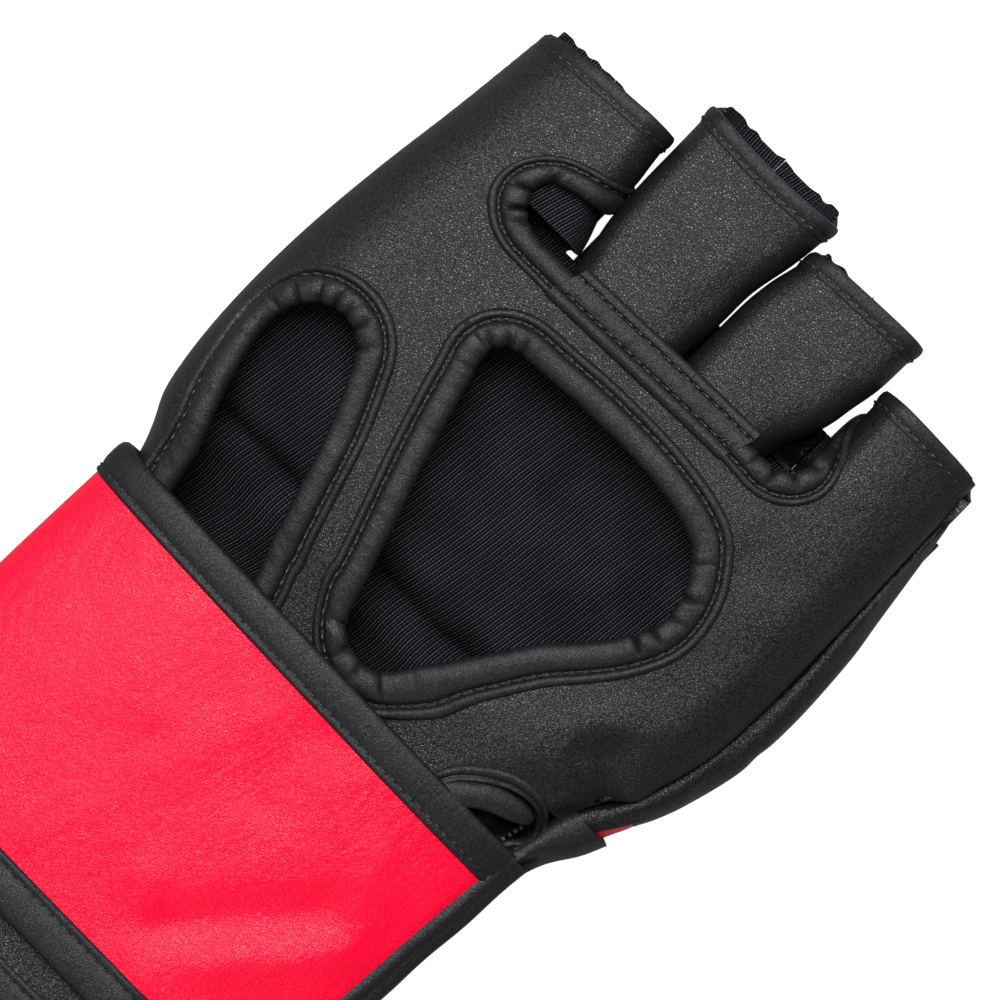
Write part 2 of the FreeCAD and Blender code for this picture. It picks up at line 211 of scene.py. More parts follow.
class Surface:
    """A sheet over (s, y): s is the length along each cross-section, and y is along the glove."""

    def __init__(self, controls, y_range, step_y=1.0, step_s=0.5, from_end=False, folds=(), relief=None):
        self.ys = np.arange(y_range[0], y_range[1] + step_y, step_y)
        c = controls(self.ys)
        pts = np.stack([np.stack([np.broadcast_to(a, self.ys.shape), np.broadcast_to(b, self.ys.shape)], 1)
                        for a, b in c], 1)
        rows = [spline_through(p, 40 * len(p), False) for p in pts]
        runs = [lengths(r) for r in rows]
        self.span = np.array([r[-1] for r in runs])
        self.from_end = from_end
        longest = self.span.max() + 2
        self.s0 = -longest if from_end else 0.0
        self.s = self.s0 + np.arange(0, longest, step_s)
        shift = [-r[-1] if from_end else 0.0 for r in runs]
        self.x = np.array([np.interp(self.s, r + k, row[:, 0]) for r, k, row in zip(runs, shift, rows)])
        self.z = np.array([np.interp(self.s, r + k, row[:, 1]) for r, k, row in zip(runs, shift, rows)])
        self.folds, self.relief = folds, relief

    def _look(self, table, s, y):
        i = np.clip((y - self.ys[0]) / (self.ys[1] - self.ys[0]), 0, len(self.ys) - 1.001)
        j = np.clip((s - self.s[0]) / (self.s[1] - self.s[0]), 0, len(self.s) - 1.001)
        a, b = i.astype(int), j.astype(int)
        u, v = i - a, j - b
        return ((1 - u) * ((1 - v) * table[a, b] + v * table[a, b + 1])
                + u * ((1 - v) * table[a + 1, b] + v * table[a + 1, b + 1]))

    def ends(self, y):
        span = np.interp(y, self.ys, self.span)
        return (-span, 0 * span) if self.from_end else (0 * span, span)

    def s_of(self, x, y):
        """s of the point of the upper side at plan position (x, y)."""
        x, y = np.broadcast_arrays(np.asarray(x, float), np.asarray(y, float))
        out = np.empty(x.shape)
        for k in np.ndindex(x.shape):
            at = float(np.clip((y[k] - self.ys[0]) / (self.ys[1] - self.ys[0]), 0, len(self.ys) - 1.001))
            i = int(at)
            both = []
            for row in (self.x[i], self.x[i + 1]):
                lo, hi = int(np.argmin(row)), int(np.argmax(row))
                both.append(np.interp(x[k], row[lo:hi + 1], self.s[lo:hi + 1]))
            out[k] = both[0] + (at - i) * (both[1] - both[0])
        return out

    def raw(self, s, y):
        return np.stack([self._look(self.x, s, y), y, self._look(self.z, s, y)], -1)

    def point(self, s, y, h=0.0):
        """The point at (s, y), raised by h along the sheet's normal."""
        s, y = np.broadcast_arrays(np.asarray(s, float), np.asarray(y, float))
        p = self.raw(s, y)
        ds = self.raw(s + NORMAL_REACH, y) - self.raw(s - NORMAL_REACH, y)
        dy = self.raw(s, y + NORMAL_REACH) - self.raw(s, y - NORMAL_REACH)
        n = np.cross(ds, dy)
        n /= np.linalg.norm(n, axis=-1, keepdims=True) + 1e-12
        lift = np.asarray(h, float) + (creases(p[..., 0], p[..., 1], self.folds) if self.folds else 0.0)
        if self.relief:
            lift = lift + self.relief(p[..., 1], p[..., 2])
        return p + n * np.broadcast_to(lift, s.shape)[..., None]


HAND_SIDE = Surface(hand_controls, (-32, 68), folds=PALM_FOLDS)
THUMB_HALF = Surface(index_controls, (-32, 102), folds=PALM_FOLDS)
PINKY_HALF = Surface(pinky_controls, (-32, 98), from_end=True, folds=PALM_FOLDS)

# ---------------------------------------------------------------- meshes
def make_object(name, verts, faces, smooth=True, uv=None):
    mesh = bpy.data.meshes.new(name)
    mesh.from_pydata((np.asarray(verts, float) * MM).tolist(), [], [list(map(int, f)) for f in faces])
    mesh.update()
    if uv is not None:
        layer = mesh.uv_layers.new(name="UVMap")
        flat = np.asarray(uv, float)[[l.vertex_index for l in mesh.loops]] * MM
        layer.data.foreach_set("uv", flat.ravel())
    mesh.shade_smooth() if smooth else None
    obj = bpy.data.objects.new(name, mesh)
    bpy.context.scene.collection.objects.link(obj)
    return obj


def grid_faces(rows, cols, close_cols=False, close_rows=False):
    faces = []
    for i in range(rows if close_rows else rows - 1):
        for j in range(cols if close_cols else cols - 1):
            a, b = i * cols + j, i * cols + (j + 1) % cols
            c, d = ((i + 1) % rows) * cols + (j + 1) % cols, ((i + 1) % rows) * cols + j
            faces.append((a, b, c, d))
    return faces


def thicken(outer, inner, faces):
    """A closed sheet from its outer and inner points: both sides and the rim."""
    n = len(outer)
    edges = {}
    for f in faces:
        for a, b in zip(f, tuple(f[1:]) + tuple(f[:1])):
            edges[(a, b)] = edges.get((a, b), 0) + 1
    rim = [(a, b) for (a, b) in edges if (b, a) not in edges]
    made = [tuple(f) for f in faces] + [tuple(n + v for v in reversed(f)) for f in faces]
    made += [(b, a, n + a, n + b) for a, b in rim]
    return np.r_[outer, inner], made


def skin(name, outer, inner, faces, uv, flip=False):
    """A closed sheet made from its two sides' points, with the same UVs. Flip turns its faces over."""
    verts, made = thicken(outer.reshape(-1, 3), inner.reshape(-1, 3), faces)
    if flip:
        made = [f[::-1] for f in made]
    uv = uv.reshape(-1, 2)
    return make_object(name, verts, made, uv=np.r_[uv, uv])


def inside(points, loop):
    """Which points are inside a closed polygon."""
    x, y = points[:, 0], points[:, 1]
    a, b = loop, np.roll(loop, -1, 0)
    hit = np.zeros(len(points), bool)
    for (ax, ay), (bx, by) in zip(a, b):
        if ay == by:
            continue
        cross = ((ay > y) != (by > y)) & (x < (bx - ax) * (y - ay) / (by - ay) + ax)
        hit ^= cross
    return hit


def cut_out(points, outline, holes):
    """Which points are inside an outline and outside its holes."""
    keep = inside(points, outline)
    for hole in holes:
        keep &= ~inside(points, hole)
    return keep


def sheet_mesh(name, surface, outline, holes, spacing=1.3, thickness=LEATHER, lift=0.0):
    """A leather piece cut to an outline in (s, y), with holes, laid on a surface."""
    loops = [outline] + holes
    lo, hi = outline.min(0), outline.max(0)
    rows = np.arange(lo[1] + spacing / 2, hi[1], spacing * 0.87)
    starts = [np.arange(lo[0] + (k % 2) * spacing / 2, hi[0], spacing) for k in range(len(rows))]
    grid = np.concatenate([np.c_[across, np.full(len(across), v)] for across, v in zip(starts, rows)])
    edge = np.concatenate(loops)
    grid = grid[cut_out(grid, outline, holes)]
    near = np.array([np.min(np.sum((edge - g) ** 2, 1)) for g in grid])
    grid = grid[near > (0.45 * spacing) ** 2]
    points = np.concatenate([edge, grid])
    edges, at = [], 0
    for loop in loops:
        edges += [(at + k, at + (k + 1) % len(loop)) for k in range(len(loop))]
        at += len(loop)
    verts, _, faces, *_ = delaunay_2d_cdt([Vector(p) for p in points], edges, [], 0, 1e-5)
    flat = np.array([tuple(v) for v in verts])
    middle = np.array([flat[list(f)].mean(0) for f in faces])
    faces = [tuple(f) for f, kept in zip(faces, cut_out(middle, outline, holes)) if kept]
    used = sorted({v for f in faces for v in f})
    back = {v: k for k, v in enumerate(used)}
    faces = [tuple(back[v] for v in f) for f in faces]
    flat = flat[used]
    outer = surface.point(flat[:, 0], flat[:, 1], lift)
    inner = surface.point(flat[:, 0], flat[:, 1], lift - thickness)
    return skin(name, outer, inner, faces, flat)


def to_surface(surface, plan):
    return np.c_[surface.s_of(plan[:, 0], plan[:, 1]), plan[:, 1]]


# ---------------------------------------------------------------- openings, in plan
KEYHOLE = [(-25.4, 44.5), (-24.0, 38.0), (-20.0, 24.0), (-15.0, 9.0), (-11.0, -3.0), (-8.6, -10.5),
           (-5.0, -14.0),
           (1.0, -14.6), (5.0, -11.0), (12.0, -1.0), (20.0, 11.0), (27.0, 19.0), (31.5, 25.0), (34.2, 31.0),
           (33.6, 37.0), (31.0, 42.0), (26.0, 46.6), (15.0, 49.0), (0.0, 49.6), (-14.0, 48.8), (-22.5, 48.0)]
THUMB = [(-47.0, -22.0), (-52.0, -8.0), (-56.0, 2.0), (-59.0, 12.0), (-60.0, 18.0), (-59.0, 23.5),
         (-56.0, 27.6),
         (-51.5, 29.6), (-47.0, 29.2), (-43.6, 26.8), (-41.0, 22.0), (-37.0, 13.0), (-33.0, 1.0),
         (-30.0, -9.0),
         (-27.5, -22.0)]
INDEX_WEB = [(-21.5, 66.2), (-26.0, 66.4), (-31.0, 66.4), (-36.0, 66.8), (-39.6, 69.0), (-41.4, 72.2),
             (-40.4, 75.2),
             (-36.6, 77.0), (-31.0, 78.4), (-27.6, 79.8)]
PINKY_WEB = [(19.0, 67.6), (23.5, 67.4), (27.5, 67.2), (31.0, 68.6), (33.0, 72.0), (32.4, 75.6), (30.4, 78.2)]
HEEL_SLIT = [(25.5, -24.0), (28.0, -18.6), (32.4, -14.6), (37.2, -12.0), (42.0, -11.3), (45.0, -12.6),
             (46.2, -15.2),
             (45.4, -18.0), (43.6, -20.4), (42.6, -23.4)]
SLIT_PROFILE = [(0.5, -3.2, 0.0), (0.1, -2.0, 0.0), (-0.1, -0.8, 0.2), (0.1, 0.0, 0.2), (0.45, 0.35, 0.1),
                (0.85, 0.25, 0.0),
                (1.05, -0.1, 0.0), (1.2, -0.1, 0.0), (1.45, 0.4, 0.0), (1.95, 0.75, 0.0), (2.45, 0.65, 0.0),
                (2.8, 0.2, 0.0),
                (3.0, -0.3, 0.0)]


# ---------------------------------------------------------------- bindings
def wobble(a, seed, size):
    """Small irregular waves along a length."""
    r = np.random.default_rng(seed)
    out = np.zeros_like(a)
    for wave in (3.1, 5.3, 8.7, 14.0, 23.0):
        out += r.uniform(0.5, 1.0) * np.sin(2 * np.pi * (a / wave + r.uniform()))
    return size * out / 5


# across a binding: distance from the opening's edge, height, and how much a pleat moves it
ROLL = [(3.6, -2.9, 0.0), (2.2, -3.0, 0.2), (1.0, -2.6, 0.5), (0.25, -1.7, 0.9), (0.0, -0.7, 1.0),
        (0.2, 0.2, 1.0),
        (0.8, 0.95, 1.0), (1.8, 1.4, 1.0), (3.0, 1.5, 0.8), (4.1, 1.35, 0.5), (4.8, 1.0, 0.25),
        (5.2, 0.3, 0.1),
        (5.4, -0.25, 0.0), (5.8, -0.25, 0.0), (6.0, 0.4, 0.0), (6.4, 0.92, 0.0), (6.9, 1.0, 0.0),
        (7.4, 0.85, 0.0),
        (7.7, 0.4, 0.0), (7.9, -0.1, 0.0), (8.0, -0.6, 0.0)]


def rolled_binding(name, surface, flat, closed, pleats, seed, width=1.0, profile=ROLL, side=1.0):
    """A strip of leather rolled over an opening's edge and sewn down, pleated where the edge turns.
    The edge is a line of (s, y) points. Pleats are (position along the edge, size)."""
    n = normals_2d(flat, closed) * (1.0 if closed else side)
    a = lengths(flat)
    pinch = np.zeros(len(flat))
    for at, size in pleats:
        gap = np.abs(a - at)
        if closed:
            gap = np.minimum(gap, a[-1] - gap)
        pinch += size * (np.exp(-(gap / 0.46) ** 2) - 0.2 * np.exp(-((gap - 1.3) / 0.8) ** 2))
    rough, puff = wobble(a, seed, 0.2), wobble(a, seed + 1, 0.14)
    rows, under = [], []
    for w, h, moved in profile:
        out = w * width + moved * (0.42 * np.clip(pinch, -1, 2) + rough)
        height = h + moved * (puff - 0.85 * np.clip(pinch, -0.6, 1.6))
        rows.append(surface.point(flat[:, 0] + n[:, 0] * out, flat[:, 1] + n[:, 1] * out, height))
        deep = np.minimum(height - 0.45, -LEATHER * 0.5) if w > 1.0 and h > -1.0 else height - 0.2
        out = out + (0.5 if w <= 1.0 else 0.0)
        under.append(surface.point(flat[:, 0] + n[:, 0] * out, flat[:, 1] + n[:, 1] * out, deep))
    pts, low = np.stack(rows, 1), np.stack(under, 1)
    uv = np.stack(np.broadcast_arrays(a[:, None], np.array(profile)[:, 0] * width), -1)
    line = flat + n * STITCH_AT * width
    roll = skin(name, pts, low, grid_faces(*pts.shape[:2], close_rows=closed), uv)
    return roll, surface.point(line[:, 0], line[:, 1], 0.12)


def pleats_near(surface, flat, marks):
    """Pleats given by plan position, as positions along an edge."""
    a, place = lengths(flat), surface.point(flat[:, 0], flat[:, 1])
    return [(a[int(np.argmin(np.hypot(place[:, 0] - x, place[:, 1] - y)))], size) for (x, y), size in marks]


THREAD_STEPS, THREAD_SIDES = 7, 6


def stitches(name, lines, thread=0.27, long=2.05):
    """Short runs of thread along lines of points, each end dipping into its hole."""
    verts, faces = [], []
    for line in lines:
        line = evenly(line, STITCH_PITCH / 8, False)
        run = lengths(line)
        count = int(run[-1] // STITCH_PITCH)
        for i in range(count):
            start = i * STITCH_PITCH + 0.3 + RNG.uniform(-0.08, 0.08)
            at = start + np.linspace(0, long, THREAD_STEPS)
            mid = np.c_[tuple(np.interp(at, run, line[:, c]) for c in range(3))]
            along = np.gradient(mid, axis=0)
            along /= np.linalg.norm(along, axis=1)[:, None] + 1e-9
            side = np.cross(along, np.array([0, 0, 1.0]))
            side /= np.linalg.norm(side, axis=1)[:, None] + 1e-9
            top = np.cross(side, along)
            bow = np.sin(np.linspace(0, np.pi, THREAD_STEPS))
            mid = mid + top * (0.34 * bow - 0.3)[:, None] + side * 0.12 * RNG.uniform(-1, 1)
            fat = thread * (0.55 + 0.45 * bow)
            base = len(verts)
            for j in range(THREAD_STEPS):
                for turn in np.arange(THREAD_SIDES) * math.pi / 3:
                    verts.append(mid[j] + fat[j] * (math.cos(turn) * side[j] + math.sin(turn) * top[j]))
            faces += [tuple(base + q for q in quad)
                      for quad in grid_faces(THREAD_STEPS, THREAD_SIDES, close_cols=True)]
            faces.append(tuple(base + q for q in reversed(range(THREAD_SIDES))))
            far_end = base + (THREAD_STEPS - 1) * THREAD_SIDES
            faces.append(tuple(far_end + q for q in range(THREAD_SIDES)))
    return make_object(name, np.array(verts), faces)


def patch(name, surface, y_low, y_high, cols, rows, thickness=LEATHER, lift=0.0, u_range=(0.0, 1.0)):
    """A sheet over a surface between two lines, y_low(u) and y_high(u), where u runs from 0 to 1."""
    u = np.linspace(u_range[0], u_range[1], cols)
    low = np.broadcast_to(y_low(u) if callable(y_low) else y_low, u.shape)
    high = np.broadcast_to(y_high(u) if callable(y_high) else y_high, u.shape)
    v = np.linspace(0, 1, rows)[:, None]
    y = low + (high - low) * v
    first, last = surface.ends(y)
    s = first + (last - first) * u
    outer, inner = surface.point(s, y, lift), surface.point(s, y, np.asarray(lift) - thickness)
    return skin(name, outer, inner, grid_faces(rows, cols), np.stack([s, y], -1))


def edge_strip(name, surface, line, profile, side=1.0, thickness=0.5):
    """A narrow strip along a line of (s, y) points. Its profile gives distances to one side, and heights."""
    n = normals_2d(line, False) * side
    a = lengths(line)
    prof = np.array(profile, float)
    pts, low = (np.stack([surface.point(line[:, 0] + n[:, 0] * w, line[:, 1] + n[:, 1] * w, h - down)
                          for w, h in prof], 1) for down in (0.0, thickness))
    uv = np.stack(np.broadcast_arrays(a[:, None], prof[:, 0]), -1)
    return skin(name, pts, low, grid_faces(len(line), len(prof)), uv)


# ---------------------------------------------------------------- materials
def srgb(r, g, b):
    """A linear colour, with its alpha, from screen values of 0 to 255."""
    linear = [(c / 255) / 12.92 if c <= 10 else ((c / 255 + 0.055) / 1.055) ** 2.4 for c in (r, g, b)]
    return (*linear, 1.0)


class Nodes:
    """A material's node tree, with short calls to make and link its nodes."""

    def __init__(self, name):
        self.mat = bpy.data.materials.new(name)
        self.mat.use_nodes = True
        self.tree = self.mat.node_tree
        self.bsdf = self.tree.nodes["Principled BSDF"]
        self.uv = self.add("ShaderNodeTexCoord").outputs["UV"]

    def add(self, kind, inputs=None, **settings):
        node = self.tree.nodes.new(kind)
        for key, value in settings.items():
            setattr(node, key, value)
        for key, value in (inputs or {}).items():
            self.put(node.inputs[key], value)
        return node

    def put(self, socket, value):
        if isinstance(value, bpy.types.NodeSocket):
            self.tree.links.new(value, socket)
        else:
            socket.default_value = value

    def math(self, how, a, b=0.0, c=0.0):
        return self.add("ShaderNodeMath", {0: a, 1: b, 2: c}, operation=how).outputs[0]

    def noise(self, scale, detail=3.0, rough=0.55, vector=None):
        node = self.add("ShaderNodeTexNoise", {"Vector": vector or self.uv, "Scale": scale, "Detail": detail,
                                               "Roughness": rough})
        return node.outputs["Fac"]

    def mapped(self, scale=(1, 1, 1), turn=0.0):
        node = self.add("ShaderNodeMapping", {"Vector": self.uv, "Scale": scale, "Rotation": (0, 0, turn)})
        return node.outputs["Vector"]

    def spread(self, value, low, high, to_low=0.0, to_high=1.0):
        node = self.add("ShaderNodeMapRange", {"Value": value, "From Min": low, "From Max": high,
                                               "To Min": to_low, "To Max": to_high})
        return node.outputs["Result"]

    def blend(self, factor, a, b):
        node = self.add("ShaderNodeMix", data_type="RGBA")
        self.put(node.inputs[0], factor)
        self.put(node.inputs[6], a)
        self.put(node.inputs[7], b)
        return node.outputs[2]

    def bump(self, height, strength, distance, normal=None):
        inputs = {"Height": height, "Strength": strength, "Distance": distance}
        if normal is not None:
            inputs["Normal"] = normal
        return self.add("ShaderNodeBump", inputs).outputs["Normal"]

    def finish(self, **sockets):
        for key, value in sockets.items():
            self.put(self.bsdf.inputs[key.replace("_", " ")], value)
        return self.mat


def leather(name, light, dark, rough=(0.42, 0.56), grain=0.00072, relief=0.35, wrinkle=0.3, specular=0.5,
            pit_shade=0.12):
    """Fine-grained artificial leather: pebbles with painted shade in the pits between them, darker in colour
    and lower in specular level, and a few longer wrinkles.
    """
    m = Nodes(name)
    warp = m.add("ShaderNodeTexNoise", {"Vector": m.uv, "Scale": 900.0, "Detail": 2.0}).outputs["Color"]
    warped = m.add("ShaderNodeVectorMath", {0: m.uv, 1: m.add("ShaderNodeVectorMath",
                                                              {0: warp, "Scale": 0.0009},
                                                                operation="SCALE").outputs[0]}).outputs[0]
    cells = m.add("ShaderNodeTexVoronoi", {"Vector": warped, "Scale": 1.0 / grain},
                  feature="DISTANCE_TO_EDGE").outputs["Distance"]
    pebbles = m.spread(cells, 0.0, 0.3)
    fine = m.noise(1 / 0.0005, 4.0, 0.6)
    folds = m.noise(1 / 0.006, 5.0, 0.62, m.mapped((1.0, 0.45, 1.0), 0.5))
    broad = m.noise(1 / 0.03, 3.0)
    crack = m.math("ABSOLUTE", m.math("SUBTRACT", m.noise(1 / 0.0045, 6.0, 0.7,
                                                          m.mapped((1.0, 0.35, 1.0), -0.3)), 0.5))
    lines = m.spread(crack, 0.0, 0.03)
    height = m.math("ADD", m.math("MULTIPLY", pebbles, 0.8), m.math("MULTIPLY", fine, 0.5))
    height = m.math("ADD", height, m.math("MULTIPLY", lines, 0.3))
    normal = m.bump(folds, wrinkle, 0.0012)
    normal = m.bump(height, relief, 0.00022, normal)
    # painted shade: colour and specular level drop in the pits between pebbles, times random tone
    shade = m.math("MULTIPLY", m.spread(pebbles, 0.0, 1.0, pit_shade, 1.0), m.spread(fine, 0.38, 0.62, 0.6, 1.0))
    shade = m.math("MULTIPLY", shade, m.spread(broad, 0.3, 0.7, 0.85, 1.0))
    gloss = m.spread(folds, 0.3, 0.7, rough[0], rough[1])
    return m.finish(Base_Color=m.blend(shade, dark, light), Roughness=gloss, Normal=normal,
                    Specular_IOR_Level=m.math("MULTIPLY", shade, specular))


TWILL_LEAN = math.radians(3.5)
RIB, CROSS, CROSS_TURN = 0.00062, 0.00049, math.radians(40)


def twill(name):
    """Ribbed twill: cords nearly along the hand, every second one stronger, crossed by slanted threads."""
    m = Nodes(name)
    wander = m.math("MULTIPLY", m.noise(1 / 0.005, 3.0), 0.0004)
    lean = m.add("ShaderNodeSeparateXYZ", {0: m.mapped((1, 1, 1), TWILL_LEAN)})
    x, y = m.math("ADD", lean.outputs["X"], wander), lean.outputs["Y"]
    rib = m.spread(m.math("SINE", m.math("MULTIPLY", x, 2 * math.pi / RIB)), -0.7, 1.0)
    pair = m.spread(m.math("SINE", m.math("MULTIPLY", x, math.pi / RIB)), -1.0, 1.0, 0.45, 1.0)
    slant = m.math("ADD", m.math("MULTIPLY", x, math.cos(CROSS_TURN)),
                   m.math("MULTIPLY", y, math.sin(CROSS_TURN)))
    cross = m.spread(m.math("SINE", m.math("MULTIPLY", slant, 2 * math.pi / CROSS)), -1.0, 0.8)
    fuzz = m.noise(1 / 0.0003, 4.0, 0.7)
    broad = m.noise(1 / 0.012, 4.0)
    cord = m.math("MULTIPLY", rib, pair)
    height = m.math("ADD", cord, m.math("MULTIPLY", cross, 0.5))
    normal = m.bump(height, 0.7, 0.0002)
    # painted light and shade: cord tops painted light, grooves between them near-black, times random tone;
    # the specular level follows it
    lit = m.math("MULTIPLY", cord, m.spread(cross, 0.0, 1.0, 0.3, 1.0))
    lit = m.math("MULTIPLY", lit, m.spread(fuzz, 0.3, 0.7, 0.6, 1.0))
    lit = m.math("MULTIPLY", lit, m.spread(broad, 0.3, 0.7, 0.6, 1.0))
    color = m.blend(lit, srgb(1, 1, 2), srgb(84, 81, 88))
    return m.finish(Base_Color=color, Roughness=0.9, Normal=normal,
                    Specular_IOR_Level=m.math("MULTIPLY", lit, 0.3))


def thread_material():
    m = Nodes("waxed_thread")
    ply = m.noise(1 / 0.0003, 3.0)
    color = m.blend(ply, srgb(4, 4, 5), srgb(16, 16, 18))
    return m.finish(Base_Color=color, Roughness=0.5, Normal=m.bump(ply, 0.5, 0.0001), Specular_IOR_Level=0.4)


def tape(name, hooks):
    """Hook-and-loop tape: rows of hooks, or a matted pile of loops."""
    m = Nodes(name)
    if hooks:
        dots = m.add("ShaderNodeTexVoronoi", {"Vector": m.uv, "Scale": 1 / 0.0011, "Randomness": 0.15})
        height = m.spread(dots.outputs["Distance"], 0.0, 0.5, 1.0, 0.0)
    else:
        height = m.noise(1 / 0.0007, 6.0, 0.75)
    # painted shade and light: the colour follows the height, darker in the low parts between hooks or loops
    # and lighter on their tops
    color = m.blend(height, srgb(12, 12, 13), srgb(52, 52, 56))
    return m.finish(Base_Color=color, Roughness=0.8, Normal=m.bump(height, 0.9, 0.0005), Sheen_Weight=0.2)


PALM = leather("palm_leather", srgb(26, 27, 30), srgb(5, 5, 6), (0.32, 0.46), grain=0.0005, relief=0.4,
               specular=0.62, pit_shade=0.3)
COVER = leather("cover_leather", srgb(25, 25, 28), srgb(5, 5, 6), (0.3, 0.44), grain=0.0005, relief=0.4,
                wrinkle=0.35,
                specular=0.62, pit_shade=0.3)
TRIM = leather("binding_leather", srgb(24, 23, 27), srgb(9, 9, 10), (0.4, 0.52), grain=0.00045, relief=0.3,
               wrinkle=0.5,
               specular=0.4, pit_shade=0.7)
RED = leather("red_leather", srgb(232, 2, 52), srgb(206, 0, 34), (0.28, 0.42), grain=0.0006, relief=0.35,
              wrinkle=0.6,
              specular=0.36, pit_shade=0.6)
TWILL = twill("twill_lining")
THREAD = thread_material()
HOOKS = tape("hook_tape", True)
LOOPS = tape("loop_tape", False)


def dress(obj, material, body=None, blend=None, nodes=()):
    """Give a piece its material and sharp edges; parent it to its body's empty, or for a blend only bake its
    transform; and hide the model's nodes that it stands for.
    """
    obj.data.materials.clear()
    obj.data.materials.append(material)
    obj.data.set_sharp_from_angle(angle=math.radians(50))
    if blend:
        a, b, start, end = blend
        tuple(v * MM for v in start)
        tuple(v * MM for v in end)
        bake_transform(obj)
    else:
        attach(obj, body)
    if nodes:
        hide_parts(*nodes)
    return obj


def curl(finger):
    """The blend across a finger's hinge line."""
    return ("hand", finger, (0, 61.0, 36.0), (0, 80.0, 36.0))


# ---------------------------------------------------------------- palm leather
BOTTOM_Y, ROOT_Y = -30.0, 63.5
KEYHOLE_MID_Y = 18.0


def side_of_keyhole(sign):
    """The leather's keyhole edge, under the binding, on one side of the middle, from top to bottom."""
    path = curve(KEYHOLE, 1.2)
    path = path + normals_2d(path, True) * PANEL_UNDER
    half = path[path[:, 0] * sign > 0.5]
    half = half[np.argsort(np.arctan2(half[:, 1] - KEYHOLE_MID_Y, sign * half[:, 0]))[::-1]]
    top, low = (np.interp(0, *zip(*sorted(map(tuple, part))))
                for part in (path[path[:, 1] > 40], path[path[:, 1] < -10]))
    return np.r_[[(0.0, top)], half, [(0.0, low)]], top, low


def middle_edge(surface, sign):
    """A palm half's edge along the glove's middle: from the finger roots round the keyhole to the wrist."""
    half, top, low = side_of_keyhole(sign)
    return to_surface(surface, np.r_[straight((0.0, ROOT_Y), (0.0, top)), half,
                                     straight((0.0, low), (0.0, BOTTOM_Y))])


def plan_point(surface, x, y):
    return to_surface(surface, np.array([(x, y)]))[0]


def web_edge(points, surface, tail):
    """A web binding's inner edge in (s, y), its end carried down the stall's side wall."""
    plan = curve(points, 0.45, closed=False)
    flat = to_surface(surface, plan)
    end = flat[-1]
    extra = np.array([end + np.array(t) for t in tail])
    return evenly(spline_through(np.r_[flat[::6], extra], 400, False), 0.45, False)


def straight(a, b, step=1.2):
    n = max(2, int(np.hypot(*(np.subtract(b, a))) / step))
    return np.c_[np.linspace(a[0], b[0], n), np.linspace(a[1], b[1], n)]


def joined(*parts):
    """One closed loop from open stretches, with repeated points dropped."""
    pts = np.concatenate(parts)
    keep = np.r_[True, np.hypot(*(np.diff(pts, axis=0).T)) > 0.25]
    pts = pts[keep]
    if np.hypot(*(pts[0] - pts[-1])) < 0.25:
        pts = pts[:-1]
    return pts


INDEX_TAIL = [(5.0, 1.2), (9.0, 1.6), (14.0, 1.6), (19.0, 1.0)]
PINKY_TAIL = [(-4.0, 1.8), (-8.0, 2.4), (-13.0, 2.4), (-18.0, 1.6)]
WEB_WIDTH = 0.82
MOUTHS = {"index": (96.2, 99.2), "pinky": (93.0, 93.4)}
index_rim = web_edge(INDEX_WEB, THUMB_HALF, INDEX_TAIL)
pinky_rim = web_edge(PINKY_WEB, PINKY_HALF, PINKY_TAIL)


def thumb_half_outline():
    s = THUMB_HALF
    left_bottom = (0.0, BOTTOM_Y)
    mouth_left, mouth_right = MOUTHS["index"]
    end_s = float(s.ends(np.array(mouth_right))[1])
    under = index_rim - normals_2d(index_rim, False) * PANEL_UNDER * 0.9
    under = under[(under[:, 0] < s.ends(under[:, 1])[1] - 0.3)][::-3]
    wall_y = np.arange(mouth_right, under[0, 1] + 1.0, -1.2)
    wall = np.c_[s.ends(wall_y)[1], wall_y]
    return joined(straight(plan_point(s, 0.0, BOTTOM_Y), left_bottom),
                  straight(left_bottom, (0.0, mouth_left)), straight((0.0, mouth_left), (end_s, mouth_right)),
                  wall, under, straight(under[-1], plan_point(s, 0.0, ROOT_Y)), middle_edge(s, -1))


slit_rim = curve(HEEL_SLIT, 0.45, closed=False)
SLIT_UNDER = 2.4
SEAM_START = (0.0, -10.0)


def pinky_half_outline():
    s = PINKY_HALF
    mouth_seam, mouth_left = MOUTHS["pinky"]
    start_s = float(s.ends(np.array(mouth_left))[0])
    under = pinky_rim + normals_2d(pinky_rim, False) * PANEL_UNDER * 0.9
    under = under[under[:, 0] > s.ends(under[:, 1])[0] + 0.3][::3]
    wall_y = np.arange(mouth_left, under[-1, 1] + 1.0, -1.2)
    wall = np.c_[s.ends(wall_y)[0], wall_y]
    slit = slit_rim - normals_2d(slit_rim, False) * SLIT_UNDER
    slit = slit[(slit[:, 1] > -25) & (slit[:, 0] < 46.0) & (np.arange(len(slit)) < 0.66 * len(slit))][::3]
    corner = to_surface(s, slit)
    return joined(to_surface(s, straight((0.0, BOTTOM_Y), (slit[0, 0], BOTTOM_Y))), corner,
                  straight(corner[-1], SEAM_START),
                  straight(SEAM_START, (0.0, mouth_seam)), straight((0.0, mouth_seam), (start_s, mouth_left)),
                  wall, under[::-1], straight(under[0], plan_point(s, 0.0, ROOT_Y)), middle_edge(s, 1))


thumb_path = curve(THUMB, 1.2)
thumb_hole = to_surface(THUMB_HALF, thumb_path)
thumb_hole = thumb_hole + normals_2d(thumb_hole, True) * PANEL_UNDER
palm_thumb = sheet_mesh("palm_leather_thumb_side", THUMB_HALF, thumb_half_outline(), [thumb_hole])
palm_pinky = sheet_mesh("palm_leather_pinky_side", PINKY_HALF, pinky_half_outline(), [])
dress(palm_thumb, PALM, blend=curl("index"), nodes=("palm_panel", "index_stall"))
dress(palm_pinky, PALM, blend=curl("pinky"), nodes=("pinky_stall",))

